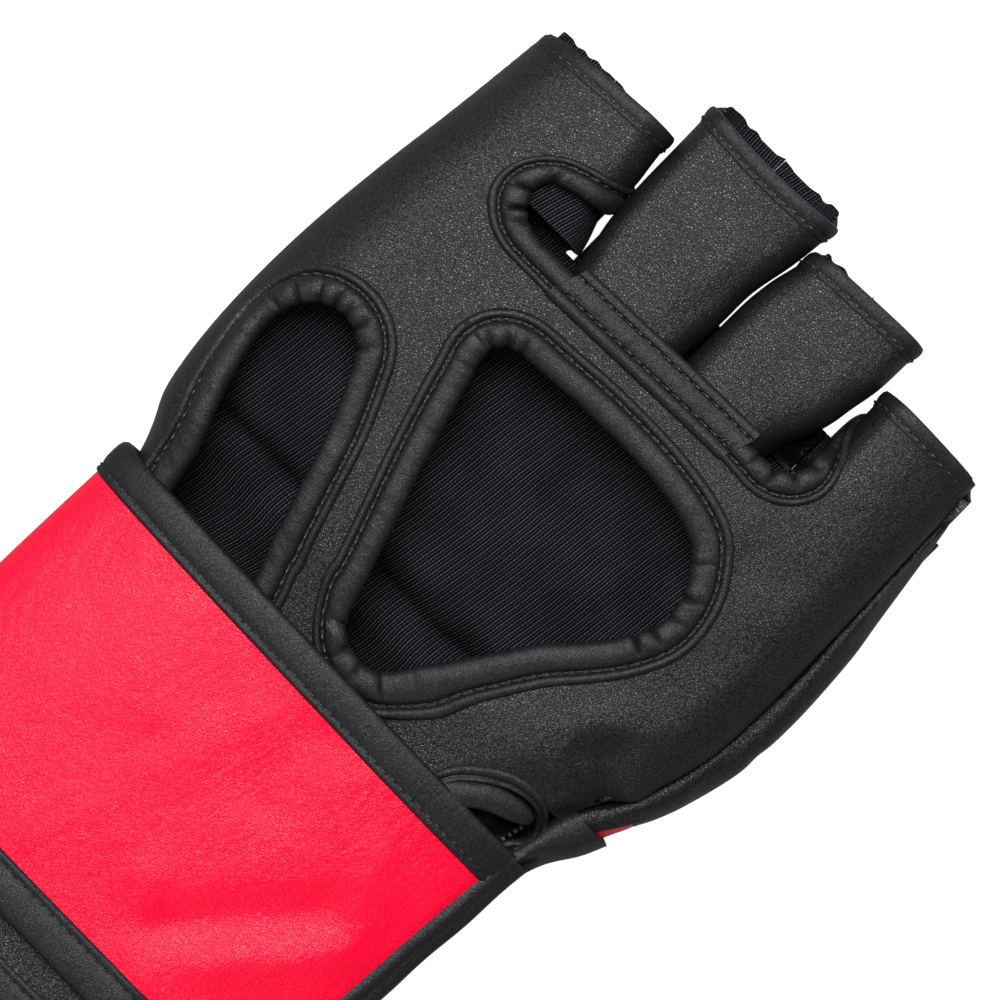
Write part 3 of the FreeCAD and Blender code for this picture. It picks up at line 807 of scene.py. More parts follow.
# ---------------------------------------------------------------- bindings
KEY_PLEATS = [((-25.2, 45.5), 1.0), ((-23.6, 47.6), 0.9), ((-21.0, 48.3), 0.6), ((33.8, 37.5), 0.9),
              ((34.0, 33.0), 0.6),
              ((33.6, 29.0), 0.8), ((32.0, 25.8), 1.1), ((30.0, 43.0), 0.5), ((-8.0, -12.0), 1.0),
              ((-4.5, -14.2), 0.9),
              ((-1.0, -14.8), 0.7), ((2.6, -13.6), 0.7), ((-25.2, 40.0), 0.4)]
THUMB_PLEATS = [((-59.4, 22.0), 0.6), ((-58.0, 25.6), 0.9), ((-55.4, 28.0), 0.8), ((-52.6, 29.5), 1.0),
                ((-49.6, 29.8), 0.7),
                ((-46.8, 29.2), 0.9), ((-43.8, 27.0), 0.8), ((-59.8, 14.0), 0.3)]


def edge_binding(name, surface, flat, closed, marks, seed, **more):
    return rolled_binding(name, surface, flat, closed, pleats_near(surface, flat, marks), seed, **more)


keyhole_rim = evenly(to_surface(HAND_SIDE, curve(KEYHOLE, 0.45)), 0.45, True)
keyhole, keyhole_line = edge_binding("keyhole_binding_roll", HAND_SIDE, keyhole_rim, True, KEY_PLEATS, 3)
dress(keyhole, TRIM, body="hand", nodes=("keyhole_binding",))
thumb_rim = evenly(to_surface(HAND_SIDE, curve(THUMB, 0.45)), 0.45, True)
thumb_roll, thumb_line = edge_binding("thumb_opening_binding_roll", HAND_SIDE, thumb_rim, True,
                                      THUMB_PLEATS, 11)
dress(thumb_roll, TRIM, body="hand", nodes=("thumb_opening_binding",))

INDEX_PLEATS = [((-39.7, 75.7), 1.3), ((-41.4, 72.0), 1.1), ((-40.0, 68.8), 1.3), ((-37.4, 67.2), 0.4)]
PINKY_PLEATS = [((29.0, 67.6), 0.9), ((31.6, 69.2), 0.8), ((33.0, 72.4), 1.0), ((32.0, 76.0), 0.7),
                ((25.0, 67.4), 0.6)]
index_roll, index_line = edge_binding("index_web_binding_roll", THUMB_HALF, index_rim, False, INDEX_PLEATS,
                                      21,
                                      width=WEB_WIDTH, side=-1.0)
dress(index_roll, TRIM, blend=curl("index"),
      nodes=("index_web_binding", "index_stall_web_binding"))
pinky_roll, pinky_line = edge_binding("pinky_web_binding_roll", PINKY_HALF, pinky_rim, False, PINKY_PLEATS,
                                      31,
                                      width=WEB_WIDTH)
dress(pinky_roll, TRIM, blend=curl("pinky"),
      nodes=("pinky_web_binding", "pinky_stall_web_binding"))

slit_flat = evenly(to_surface(HAND_SIDE, slit_rim), 0.45, False)
slit_roll, _ = edge_binding("heel_slit_binding_roll", HAND_SIDE, slit_flat, False, [], 41,
                            profile=SLIT_PROFILE, side=-1.0)
dress(slit_roll, TRIM, body="hand", nodes=("heel_slit_binding",))

# the strip over the roots of the middle and ring fingers
STRIP_PROFILE = [(-4.4, -0.9), (-4.35, 0.1), (-4.0, 0.85), (-3.2, 1.15), (-2.45, 0.9), (-2.25, 0.25),
                 (-1.95, 0.25), (-1.75, 0.9),
                 (-0.8, 1.25), (0.4, 1.3), (1.4, 1.1), (1.75, 0.95), (1.95, 0.25), (2.25, 0.25), (2.5, 0.9),
                 (3.4, 1.25), (4.1, 1.2),
                 (4.7, 0.75), (5.1, 0.1), (5.2, -0.9)]
STRIP_LINE = [(-24.4, 64.7), (-10.0, 65.1), (6.0, 65.6), (21.4, 65.9)]
strip_path = evenly(to_surface(HAND_SIDE, spline_through(STRIP_LINE, 120, False)), 0.5, False)
strip = edge_strip("finger_root_strip_leather", HAND_SIDE, strip_path, STRIP_PROFILE, side=1.0, thickness=0.9)
dress(strip, TRIM, body="hand", nodes=("finger_root_strip",))


def beside(surface, flat, w, h, side=1.0):
    line = flat + normals_2d(flat, False) * side * w
    return surface.point(line[:, 0], line[:, 1], h)


def drawn(surface, plan, h):
    flat = to_surface(surface, np.array(plan, float))
    return surface.point(flat[:, 0], flat[:, 1], h)


strip_lines = [beside(HAND_SIDE, strip_path, w, 0.55) for w in (-2.1, 2.1)]
for x in (-22.0, 18.6):
    strip_lines += [drawn(HAND_SIDE, [(x + d * t, 65.2 + 2.1 * t) for t in np.linspace(-1, 1, 14)], 1.25)
                    for d in (-1.3, 1.3)]

# ---------------------------------------------------------------- back of the hand
PAD_SPLIT_Y, RED_BACK_Y = 26.0, 0.0


def back_controls(y):
    left, seam, wall, low = hermite(y, HAND).T[[0, 1, 2, 4]]
    return [(seam - 1.0, 23.4), (seam + 0.9, 25.2), (wall - 2.4, 23.6), (wall - 0.2, 18.6),
            (wall - 0.3, 12.0 + low), (wall - 4.0, 4.6 + low), (wall - 11.5, 1.0 + low),
            (wall - 24.0, 0.15 + low),
            (15.0, 0.1 + low), (-15.0, 0.1 + low), (left + 26.0, 0.15 + low), (left + 12.0, 1.3 + low),
            (left + 4.0, 5.4 + low), (left + 1.4, seam_z(y) - 0.3)]


def back_relief(y, z):
    """The padding's grooves, and its rounded end at the knuckles."""
    groove = -2.6 * np.exp(-((y - PAD_SPLIT_Y) / 2.4) ** 2) - 1.6 * np.exp(-((y - RED_BACK_Y) / 1.6) ** 2)
    flat = smooth_step((11.0 - z) / 8.0)
    return groove * (0.12 + 0.88 * flat) - 5.0 * flat * np.exp(-((y - KNUCKLE_Y) / 3.0) ** 2)


COVER_END = 67.6
BACK_FOLDS = [((63.5, 12), (60, 52), 1.6, -0.5), ((66, 20), (66, 58), 1.2, 0.35)]
BACK_SIDE = Surface(back_controls, (-32, 98), folds=BACK_FOLDS, relief=back_relief)


def cover_start(u):
    """The back cover's lower edge, lower on the little-finger side."""
    return RED_BACK_Y - 0.6 - 8.5 * smooth_step((0.062 - u) / 0.02)


back = patch("back_cover_leather", BACK_SIDE, cover_start, COVER_END, 260, 90)
dress(back, COVER, body="hand", nodes=("back_cover", "knuckle_foam_pad",
                                                        "back_hand_foam_pad"))
red_back = patch("back_lower_red_leather", BACK_SIDE, -30.0, RED_BACK_Y - 0.2, 200, 40, lift=-0.15)
dress(red_back, RED, body="hand", nodes=("back_lower_panel",))


def past_knuckles(finger):
    """The blend of cover pieces that start at the back cover's end."""
    return ("hand", finger, (0, COVER_END, 36.0), (0, 79.0, 36.0))


def rounded_end(far, seam_u, free_u):
    """A cover's end line, straight by the seam and drawn back towards its free edge."""
    def line(u):
        return far - 16.0 * np.clip((u - seam_u) / (free_u - seam_u), 0, 1) ** 0.8
    return line


for finger, u_range, far in (("pinky", (0.0, 0.15), 92.6), ("index", (0.89, 1.0), 95.0)):
    ends = u_range if finger == "pinky" else u_range[::-1]
    wall_side = patch(f"{finger}_side_leather", BACK_SIDE, COVER_END, rounded_end(far, *ends), 44, 40,
                      u_range=u_range)
    dress(wall_side, COVER, blend=past_knuckles(finger))

# ---------------------------------------------------------------- finger stalls
FINGERS = ("index", "middle", "ring", "pinky")
MOUTHS.update({"middle": (108.2, 111.6), "ring": (103.0, 104.6)})
TUBE_START = 66.3


def tube_controls(name):
    def controls(y):
        left, right = hermite(y, STALLS[name]).T
        mid = (left + right) / 2
        low, waist, top = STALL_LOW - 0.3, STALL_WAIST, STALL_TOP + 0.1
        open_ = 0.6 * smooth_step((y - 96) / 14)
        return [(mid, low), (left + 4.5, low + 0.4), (left + 0.9, low + 4.2), (left, waist),
                (left + 0.8, top - 4.6 + open_), (left + 4.6, top - 0.9 + open_), (mid, top + open_),
                (right - 4.6, top - 0.9 + open_), (right - 0.8, top - 4.6 + open_), (right, waist),
                (right - 0.9, low + 4.2), (right - 4.5, low + 0.4), (mid, low)]
    return controls


STALL_FOLDS = {"middle": [((-24, 92), (-2, 84), 6.0, 0.3), ((-14, 70), (-16, 104), 5.0, -0.25),
                          ((-4, 72), (-2, 92), 2.4, -0.3)],
               "ring": [((8, 84), (26, 78), 5.0, 0.35), ((12, 72), (10, 96), 4.0, 0.3),
                        ((30, 84), (26, 98), 3.0, -0.3)]}


def ragged(u, seed, size):
    r = np.random.default_rng(seed)
    knots = np.linspace(0, 1, 42)
    return size * np.interp(u, knots, r.uniform(-1, 1, len(knots)))


MOUTH_SLOPE = {"middle": 0.0, "ring": 1.6}
MOUTH_DIP = {"middle": -1.4, "ring": 0.0}


def mouth_line(name):
    """y of a tube's mouth round its loop: straight on the palm side, further out on the back."""
    palm, back = MOUTHS[name]

    def line(u):
        over = smooth_step((np.abs(u - 0.5) - 0.27) / 0.08)
        slope = MOUTH_SLOPE[name] * (u - 0.5) * 2
        dip = MOUTH_DIP[name] * np.cos((u - 0.5) * math.pi * 2.4)
        return palm + slope * (1 - over) + dip * (1 - over) + (back - palm) * over
    return line


HEM = [(-0.05, -1.3), (-0.35, -0.5), (-0.2, 0.25), (0.4, 0.55), (1.3, 0.6), (2.1, 0.5), (2.6, 0.2),
       (2.9, 0.15), (3.2, 0.3),
       (3.6, 0.15), (3.9, -0.1)]
HEM_STITCH = 2.75
TUBES, hem_lines = {}, {name: [] for name in FINGERS}
for name in ("middle", "ring"):
    tube = Surface(tube_controls(name), (60, 116), folds=STALL_FOLDS[name])
    TUBES[name] = tube
    stall = patch(f"{name}_stall_leather", tube, TUBE_START, mouth_line(name), 150, 44)
    dress(stall, PALM, blend=curl(name), nodes=(f"{name}_stall",))


def hem(name, surface, u_low, u_high, line):
    """The turned hem along a stall's mouth, with its stitch line."""
    u = np.linspace(u_low, u_high, 160)
    y = line(u)
    first, last = surface.ends(y)
    flat = evenly(np.c_[first + (last - first) * u, y], 0.5, False)
    obj = edge_strip(f"{name}_stall_hem", surface, flat, HEM, side=1.0, thickness=0.7)
    dress(obj, TRIM, blend=curl(name))
    stitch = flat + normals_2d(flat, False) * HEM_STITCH
    hem_lines[name].append(surface.point(stitch[:, 0], stitch[:, 1], 0.3))


def slanted_mouth(seam_y, far_y, from_end):
    """y of the index or little-finger stall's mouth along its arc, which starts at the glove's seam."""
    def line(u):
        return seam_y + (far_y - seam_y) * (1 - u if from_end else u)
    return line


hem("middle", TUBES["middle"], 0.23, 0.77, mouth_line("middle"))
hem("ring", TUBES["ring"], 0.23, 0.77, mouth_line("ring"))
hem("index", THUMB_HALF, 0.12, 0.9, slanted_mouth(*MOUTHS["index"], False))
hem("pinky", PINKY_HALF, 0.02, 0.9, slanted_mouth(*MOUTHS["pinky"], True))

# ---------------------------------------------------------------- linings
LINING = 0.7
# y, and the height of the cavity's floor under the back lining
CAVITY = [(-30, 5.9), (-24.5, 6.2), (-8, 13.0), (4, 17.8), (14, 20.2), (40, 21.8), (82, 22.0), (100, 22.0)]
LINING_FOLDS = [((-60, -1.0), (4, -2.2), 2.6, -2.2), ((4, -2.2), (50, 0.5), 2.6, -2.2),
                ((-56, 5.0), (40, 5.5), 3.0, 0.8),
                ((-30, -8), (34, -9), 4.0, 1.2), ((-22, 36), (-8, 4), 4.0, 0.5),
                ((20, 12), (30, 40), 5.0, -0.4)]


def lining_controls(y):
    left, seam = hermite(y, HAND).T[:2]
    floor = hermite(y, CAVITY)[:, 0]
    rim = 26.6
    return [(left + 5.2, rim), (left + 5.8, (rim + floor) / 2 + 0.8), (left + 9.0, floor + 1.2),
            (left + 17.0, floor + 0.3),
            (-22.0, floor), (2.0, floor - 0.1), (24.0, floor), (seam - 15.0, floor + 0.4),
            (seam - 7.6, floor + 1.6), (seam - 4.6, (rim + floor) / 2 + 1.0), (seam - 4.0, rim)]


LINING_SIDE = Surface(lining_controls, (-32, 98), folds=LINING_FOLDS)
lining = patch("back_twill_lining", LINING_SIDE, -29.0, 69.0, 150, 110, thickness=LINING)
dress(lining, TWILL, body="hand", nodes=("back_lining",))


def bore_controls(name):
    """A finger's bore: a tube just inside its stall, low where the palm leather slopes down to the seam."""
    def controls(y):
        left, right = hermite(y, STALLS[name]).T
        left, right, mid = left + 1.5, right - 1.5, (left + right) / 2
        low, waist, crown = STALL_LOW + 1.3, STALL_WAIST, STALL_TOP - 1.6
        near = [(left + 0.8, low + 4.0), (left, waist), (left + 0.8, crown - 4.0), (left + 4.4, crown - 0.8)]
        far = [(right - 4.4, crown - 0.8), (right - 0.8, crown - 4.0), (right, waist),
               (right - 0.8, low + 4.0)]
        if name == "index":
            crown = 33.4
            near = [(left + 1.0, low + 2.5), (left + 2.6, 25.0), (left + 6.0, 29.2), (left + 12.5, 32.6)]
            far = [(right - 5.0, 33.6), (right - 1.6, 31.0), (right, waist), (right - 0.8, low + 4.0)]
        if name == "pinky":
            crown = 33.6
            near = [(left + 0.8, low + 4.0), (left, waist), (left + 1.6, 31.0), (left + 5.0, 33.6)]
            far = [(right - 9.0, 33.4), (right - 4.2, 30.6), (right - 1.9, 25.0), (right - 1.2, low + 2.5)]
        return [(mid, low), (left + 5, low + 0.3), *near, (mid, crown), *far, (right - 5, low + 0.3),
                (mid, low)]
    return controls


for k, name in enumerate(FINGERS):
    palm_y, back_y = min(MOUTHS[name]), max(MOUTHS[name])
    bore = Surface(bore_controls(name), (58, 116))

    def bore_mouth(u, palm_y=palm_y, back_y=back_y, k=k):
        over = smooth_step((np.abs(u - 0.5) - 0.24) / 0.06)
        return palm_y - 0.9 + (back_y - palm_y + 1.0) * over + ragged(u, 50 + k, 0.55) * over

    def bore_start(u):
        return 70.0 - 8.0 * smooth_step((np.abs(u - 0.5) - 0.3) / 0.05)
    obj = patch(f"{name}_stall_twill", bore, bore_start, bore_mouth, 120, 40, thickness=LINING)
    dress(obj, TWILL, blend=curl(name), nodes=(f"{name}_stall_lining",))

# ---------------------------------------------------------------- finger pads
PAD_X = {"index": (-61.6, -29.2), "middle": (-28.3, 2.35), "ring": (5.2, 32.0), "pinky": (32.6, 61.0)}
PAD_ROOT_X = {"index": (-62.2, -29.0), "middle": (-28.3, 2.35), "ring": (2.6, 32.0), "pinky": (32.3, 63.2)}
PAD_START = 73.4
PAD_Z = (4.4, 19.6)
PAD_STEPS = 16


def pad_form(name, shrink=0.8):
    """A pad's closed starting form: a rounded box that narrows from the knuckle to the fingertip."""
    (root_a, root_b), (tip_a, tip_b) = PAD_ROOT_X[name], PAD_X[name]
    start, end = PAD_START + shrink, max(MOUTHS[name]) - 2.6 - shrink
    low, high = PAD_Z[0] + shrink, PAD_Z[1] - shrink
    verts, faces = [], []
    around, along = 56, 34
    for i in range(along + 1):
        t = i / along
        y = start + (end - start) * (0.5 - 0.5 * math.cos(math.pi * t))
        cap = max(0.0, 1 - abs(2 * (y - start) / (end - start) - 1) ** 5) ** 0.32
        turn_in = smooth_step(t) ** 2.5
        a = root_a + (tip_a - root_a) * turn_in + shrink
        b = root_b + (tip_b - root_b) * turn_in - shrink
        mid, half = (a + b) / 2, (b - a) / 2 * (0.6 + 0.4 * cap)
        mid_z, half_z = (low + high) / 2, (high - low) / 2 * cap
        for j in range(around):
            turn = 2 * math.pi * j / around
            c, s = math.cos(turn), math.sin(turn)
            verts.append((mid + half * math.copysign(abs(c) ** 0.62, c), y,
                          mid_z + max(half_z, 0.02) * math.copysign(abs(s) ** 0.62, s)))
    faces = grid_faces(along + 1, around, close_cols=True)
    faces += [tuple(range(around)), tuple(range(len(verts) - 1, len(verts) - 1 - around, -1))]
    return make_object(f"{name}_pad_leather", np.array(verts), faces)


def apply_modifiers(obj):
    """Give the object the mesh that its modifiers make, and take them off."""
    graph = bpy.context.evaluated_depsgraph_get()
    mesh = bpy.data.meshes.new_from_object(obj.evaluated_get(graph))
    obj.modifiers.clear()
    obj.data = mesh


def swell(obj, pressure=3.0, cap=1.6, voxel=1.5):
    """Inflate a closed form a little as cloth under pressure, and smooth it."""
    remesh = obj.modifiers.new("remesh", "REMESH")
    remesh.mode, remesh.voxel_size = "VOXEL", voxel * MM
    apply_modifiers(obj)
    start = np.array([v.co[:] for v in obj.data.vertices])
    cloth = obj.modifiers.new("cloth", "CLOTH")
    cloth.settings.use_pressure = True
    cloth.settings.uniform_pressure_force = pressure
    cloth.settings.quality = 5
    cloth.settings.mass = 0.15
    cloth.settings.tension_stiffness = cloth.settings.compression_stiffness = 25
    cloth.settings.effector_weights.gravity = 0
    cloth.point_cache.frame_end = PAD_STEPS
    for frame_number in range(1, PAD_STEPS + 1):
        bpy.context.scene.frame_set(frame_number)
    apply_modifiers(obj)
    bpy.context.scene.frame_set(1)
    now = np.array([v.co[:] for v in obj.data.vertices])
    move = now - start
    far = np.linalg.norm(move, axis=1, keepdims=True) + 1e-12
    now = start + move * np.minimum(1, cap * MM / far)
    obj.data.vertices.foreach_set("co", now.ravel())
    smooth = obj.modifiers.new("smooth", "SMOOTH")
    smooth.factor, smooth.iterations = 0.5, 4
    divide = obj.modifiers.new("divide", "SUBSURF")
    divide.levels = divide.render_levels = 1
    apply_modifiers(obj)
    obj.data.shade_smooth()


def plan_uv(obj):
    """UVs in metres from above, unrolled down the sides so that the grain isn't stretched."""
    co = np.array([v.co[:] for v in obj.data.vertices])
    mid = (co.min(0) + co.max(0)) / 2
    shift = np.sign(co[:, 0] - mid[0]) * np.abs(co[:, 2] - mid[2])
    uv = np.c_[co[:, 0] + shift, co[:, 1]]
    layer = obj.data.uv_layers.get("UVMap") or obj.data.uv_layers.new(name="UVMap")
    layer.data.foreach_set("uv", uv[[l.vertex_index for l in obj.data.loops]].ravel())


def limit_box(obj, limits, spread=1.0):
    """Keep a swollen pad off its neighbours, easing towards its lowest and highest value on each axis."""
    co = np.array([v.co[:] for v in obj.data.vertices]) / MM
    for axis, (low, high) in limits.items():
        c = co[:, axis]
        c = np.where(c < low + spread, low + spread * np.exp((c - low - spread) / spread), c)
        co[:, axis] = np.where(c > high - spread, high - spread * np.exp(-(c - high + spread) / spread), c)
    co *= MM
    obj.data.vertices.foreach_set("co", co.ravel())


for name in FINGERS:
    pad = pad_form(name)
    swell(pad)
    sides = list(zip(PAD_X[name], PAD_ROOT_X[name]))
    limit_box(pad, {0: (min(sides[0]), max(sides[1])), 2: (3.4, 18.4)}, spread=0.5)
    plan_uv(pad)
    dress(pad, COVER, body=name, nodes=(f"{name}_pad_cover", f"{name}_pad_foam"))

# the soft tongue that fills the heel slit
TONGUE = [(24.4, -22.6), (26.6, -18.9), (30.0, -15.9), (35.0, -13.0), (40.5, -11.9), (44.3, -12.4),
          (45.0, -14.0),
          (42.5, -15.8), (38.0, -17.6), (33.0, -20.4), (28.0, -24.6)]


def cushion_over(name, surface, plan, height, depth):
    """A closed cushion over a plan outline, crowned above the surface and flat below."""
    rim = to_surface(surface, curve(plan, 0.9))
    mid = rim.mean(0)
    verts, rings, count = [], 14, len(rim)
    for side in (1, -1):
        for k in range(rings):
            r = math.sin(0.5 * math.pi * (k + 1) / rings)
            ring_ = mid + (rim - mid) * r
            rise = math.sqrt(max(0.0, 1 - r**2.4))
            h = -LEATHER + (height * rise if side > 0 else -depth * rise)
            verts.append(surface.point(ring_[:, 0], ring_[:, 1], h))
    verts = np.concatenate(verts)
    faces = []
    for half in (0, 1):
        base = half * rings * count
        for k in range(rings - 1):
            for j in range(count):
                a, b = base + k * count + j, base + k * count + (j + 1) % count
                quad = (a, b, b + count, a + count)
                faces.append(quad if half == 0 else quad[::-1])
        loop = tuple(base + j for j in range(count))
        faces.append(loop[::-1] if half == 0 else loop)
    top, low = (rings - 1) * count, rings * count + (rings - 1) * count
    faces += [(top + j, top + (j + 1) % count, low + (j + 1) % count, low + j) for j in range(count)]
    return make_object(name, verts, faces)


tongue = cushion_over("slit_tongue_leather", HAND_SIDE, TONGUE, 2.7, 2.2)
plan_uv(tongue)
dress(tongue, TRIM, body="hand", nodes=("slit_tongue",))

FACING = [(22, -27), (24, -18), (31, -11.5), (38, -9.4), (44, -9.6), (47.5, -13.0), (48.0, -18.5), (44, -27)]
facing_rim = to_surface(HAND_SIDE, curve(FACING, 1.2))
facing = sheet_mesh("slit_facing_leather", HAND_SIDE, facing_rim, [], lift=-4.4, thickness=0.8)
dress(facing, TRIM, body="hand")

# ---------------------------------------------------------------- leather across the knuckle groove
FLEX_X = {"index": (-61.8, -29.2), "middle": (-26.8, 2.35), "ring": (2.6, 32.0), "pinky": (32.3, 63.0)}
FLEX_Y, FLEX_Z = (64.0, 80.5), 13.0
for name in FINGERS:
    a, b = FLEX_X[name]

    def flex_controls(y, a=a, b=b):
        z = FLEX_Z + 3.5 * np.exp(-((y - KNUCKLE_Y) / 2.5) ** 2)
        quarter = 0.25 * (b - a)
        return [(a, z + 1.5), (a + quarter, z), (b - quarter, z), (b, z + 1.5)]
    flex = patch(f"{name}_knuckle_leather", Surface(flex_controls, (60, 84)), *FLEX_Y, 40, 30)
    dress(flex, COVER, blend=curl(name))

# ---------------------------------------------------------------- cuff and strap
ROUNDNESS = 2.6
CUFF = [(-12, -60.0, 47.5, 4.0, 18.0, 33.4), (-24, -60.5, 46.5, 4.0, 18.0, 32.6),
        (-60, -61.5, 44.5, 4.0, 18.0, 32.0),
        (-112, -60.0, 43.5, 4.2, 18.0, 31.0)]


def ring_point(turn, y, grow):
    """A point of the cuff's section at y, grown outwards. Turn 0 is the little-finger side, 90 the palm."""
    left, right, low, waist, high = hermite(np.ravel(y), sorted(CUFF)).T.reshape(5, *np.shape(y))
    c, s = np.cos(np.radians(turn)), np.sin(np.radians(turn))
    rise = np.where(s > 0, high - waist, waist - low) + grow
    x = (left + right) / 2 + ((right - left) / 2 + grow) * np.sign(c) * np.abs(c) ** (2 / ROUNDNESS)
    z = waist + rise * np.sign(s) * np.abs(s) ** (2 / ROUNDNESS)
    return np.stack(np.broadcast_arrays(x, y, z), -1)


def ring_controls(grow):
    """The cuff's whole section as control points, clockwise seen from the wrist, from mid-back."""
    def controls(y):
        rings = [ring_point(turn, y, grow) for turn in np.linspace(270, -90, 61)]
        return [(ring[:, 0], ring[:, 2]) for ring in rings]
    return controls


CUFF_SIDE = Surface(ring_controls(0.0), (-114, -14), step_y=2.0)
CUFF_IN = Surface(ring_controls(-1.6), (-114, -14), step_y=2.0)
CUFF_TOP, CUFF_LOW, CUFF_END = -23.5, -105.5, -111.8
cuff = patch("wrist_cuff_leather", CUFF_SIDE, CUFF_LOW, CUFF_TOP, 240, 50)
dress(cuff, COVER, body="hand", nodes=("wrist_cuff",))
cuff_in = patch("cuff_twill_lining", CUFF_IN, CUFF_LOW - 1.5, CUFF_TOP, 240, 50, thickness=LINING)
dress(cuff_in, TWILL, body="hand", nodes=("cuff_lining",))
CUFF_HEM = [(9.0, -2.2), (4.0, -2.3), (1.0, -2.2), (0.1, -1.6), (-0.1, -0.8), (0.3, 0.2), (1.2, 0.55),
            (3.0, 0.55), (5.0, 0.5),
            (6.0, 0.4), (6.5, 0.1), (7.0, 0.4), (7.6, 0.4), (8.1, 0.0), (8.2, -0.4)]
u = np.linspace(0, 1, 300)
end_y = np.full(300, CUFF_END)
first, last = CUFF_SIDE.ends(end_y)
cuff_line = np.c_[first + (last - first) * u, end_y]
cuff_hem = edge_strip("cuff_end_binding_roll", CUFF_SIDE, cuff_line, CUFF_HEM, side=-1.0, thickness=0.4)
dress(cuff_hem, TRIM, body="hand", nodes=("cuff_end_binding",))
cuff_stitch = cuff_line + normals_2d(cuff_line, False) * -6.5
cuff_stitch_line = CUFF_SIDE.point(cuff_stitch[:, 0], cuff_stitch[:, 1], 0.25)

# the strap runs from the side piping over the palm side, round the thumb side and across the back
STRAP_FOLDS = [((32, -50), (4, -82), 5.0, -1.7), ((36, -56), (16, -80), 4.0, 1.1),
               ((2, -28), (6, -50), 6.0, -0.9),
               ((26, -36), (38, -58), 4.0, 0.7), ((-4, -70), (14, -90), 4.0, 0.8),
               ((-34, -30), (-20, -52), 7.0, 0.7),
               ((-8, -34), (-14, -60), 5.0, 0.6),
               ((12, -30), (30, -46), 7.0, 0.5), ((-30, -40), (-52, -80), 12.0, 0.5),
               ((18, -68), (40, -64), 4.5, 0.45),
               ((-10, -60), (-24, -86), 8.0, 0.4), ((-50, -30), (-56, -46), 5.0, -0.25),
               ((20, -84), (36, -70), 4.0, -0.4)]
STRAP_GROW = 2.9
STRAP_X = (-63.0, 48.0)


def strap_top(x):
    return -17.2 - 3.4 * (x - STRAP_X[0]) / (STRAP_X[1] - STRAP_X[0])


def strap_low(x):
    return -96.9 - 1.6 * (x - STRAP_X[0]) / (STRAP_X[1] - STRAP_X[0])


MID_Y = -58.0
turn_steps = np.linspace(362, -22, 2400)
mid_ring = ring_point(turn_steps, np.full_like(turn_steps, MID_Y), STRAP_GROW)
ring_run = lengths(mid_ring)


def run_at(x, back):
    """Length along the strap's middle section to where it passes x, on the back or on the palm side."""
    side = (mid_ring[:, 2] < 17) if back else (mid_ring[:, 2] > 19)
    side &= (turn_steps < 359) & (turn_steps > 1)
    near = np.where(side, np.abs(mid_ring[:, 0] - x), 1e9)
    return ring_run[int(np.argmin(near))]


def strap_span(runs, count, base=STRAP_GROW):
    """Lengths, turns and x of evenly spaced places along the strap's middle."""
    run = np.linspace(*runs, count)
    turn = np.interp(run, ring_run, turn_steps)
    return run, turn, ring_point(turn, np.full(count, MID_Y), base)[:, 0]


def strap_row(turn, x, share, dist, base):
    """A line along the strap: its y, and its points at a height. The palm side has the strap's folds."""
    y = strap_top(x) + (strap_low(x) - strap_top(x)) * share + dist
    flat = ring_point(turn, y, base)
    fold = np.where(flat[:, 2] > 24, creases(flat[:, 0], y, STRAP_FOLDS), 0.0)
    return y, lambda h: ring_point(turn, y, base + h + fold)


def strap_piece(name, runs, profile, columns=200, thickness=1.7, base=STRAP_GROW):
    """A part of the strap between two lengths along it. Each row of the profile is a share of the strap's
    width, a distance from that line, and a height."""
    run, turn, x = strap_span(runs, columns, base)
    outer, inner, uv = [], [], []
    for share, dist, h in profile:
        y, at = strap_row(turn, x, share, dist, base)
        outer.append(at(h))
        inner.append(at(h - thickness))
        uv.append(np.c_[run, y])
    return skin(name, np.stack(outer, 1), np.stack(inner, 1), grid_faces(columns, len(profile)),
                np.stack(uv, 1))


EDGE = [(3.5, -1.5), (1.2, -1.6), (0.35, -1.3), (0.0, -0.55), (0.1, 0.15), (0.6, 0.7), (1.5, 0.95),
        (3.0, 1.02), (4.6, 0.95),
        (5.8, 0.75), (6.3, 0.5), (6.7, 0.4), (7.1, 0.6), (7.6, 0.72), (8.0, 0.5), (8.25, 0.05), (8.3, -0.3)]
TOP_EDGE = [(0.0, -w, h) for w, h in EDGE]
LOW_EDGE_WIDER = 1.08
LOW_EDGE = [(1.0, w * LOW_EDGE_WIDER, h) for w, h in reversed(EDGE)]
RED_ROWS = [(v, 0.0, 0.0) for v in np.linspace(0.075, 0.925, 76)]
SPLIT_RUN = run_at(-8.0, True)
TIP_RUN = run_at(36.0, True)
PIPE_RUN = run_at(44.2, False)
FOLD = ("hand", "strap_back", (-65.0, MID_Y, 23.0), (-65.0, MID_Y, 9.0))
TIP = ("strap_back", "strap_tip", (-4.0, MID_Y, 2.0), (4.0, MID_Y, 2.0))
strap = strap_piece("strap_red_leather", (SPLIT_RUN, PIPE_RUN), RED_ROWS, columns=240)
dress(strap, RED, blend=FOLD, nodes=("strap_palm_panel", "strap_back_panel"))
tip = strap_piece("strap_tip_red_leather", (TIP_RUN + 3, SPLIT_RUN), RED_ROWS, columns=70)
dress(tip, RED, blend=TIP, nodes=("strap_tip_panel",))
PALM_END = run_at(45.0, False)
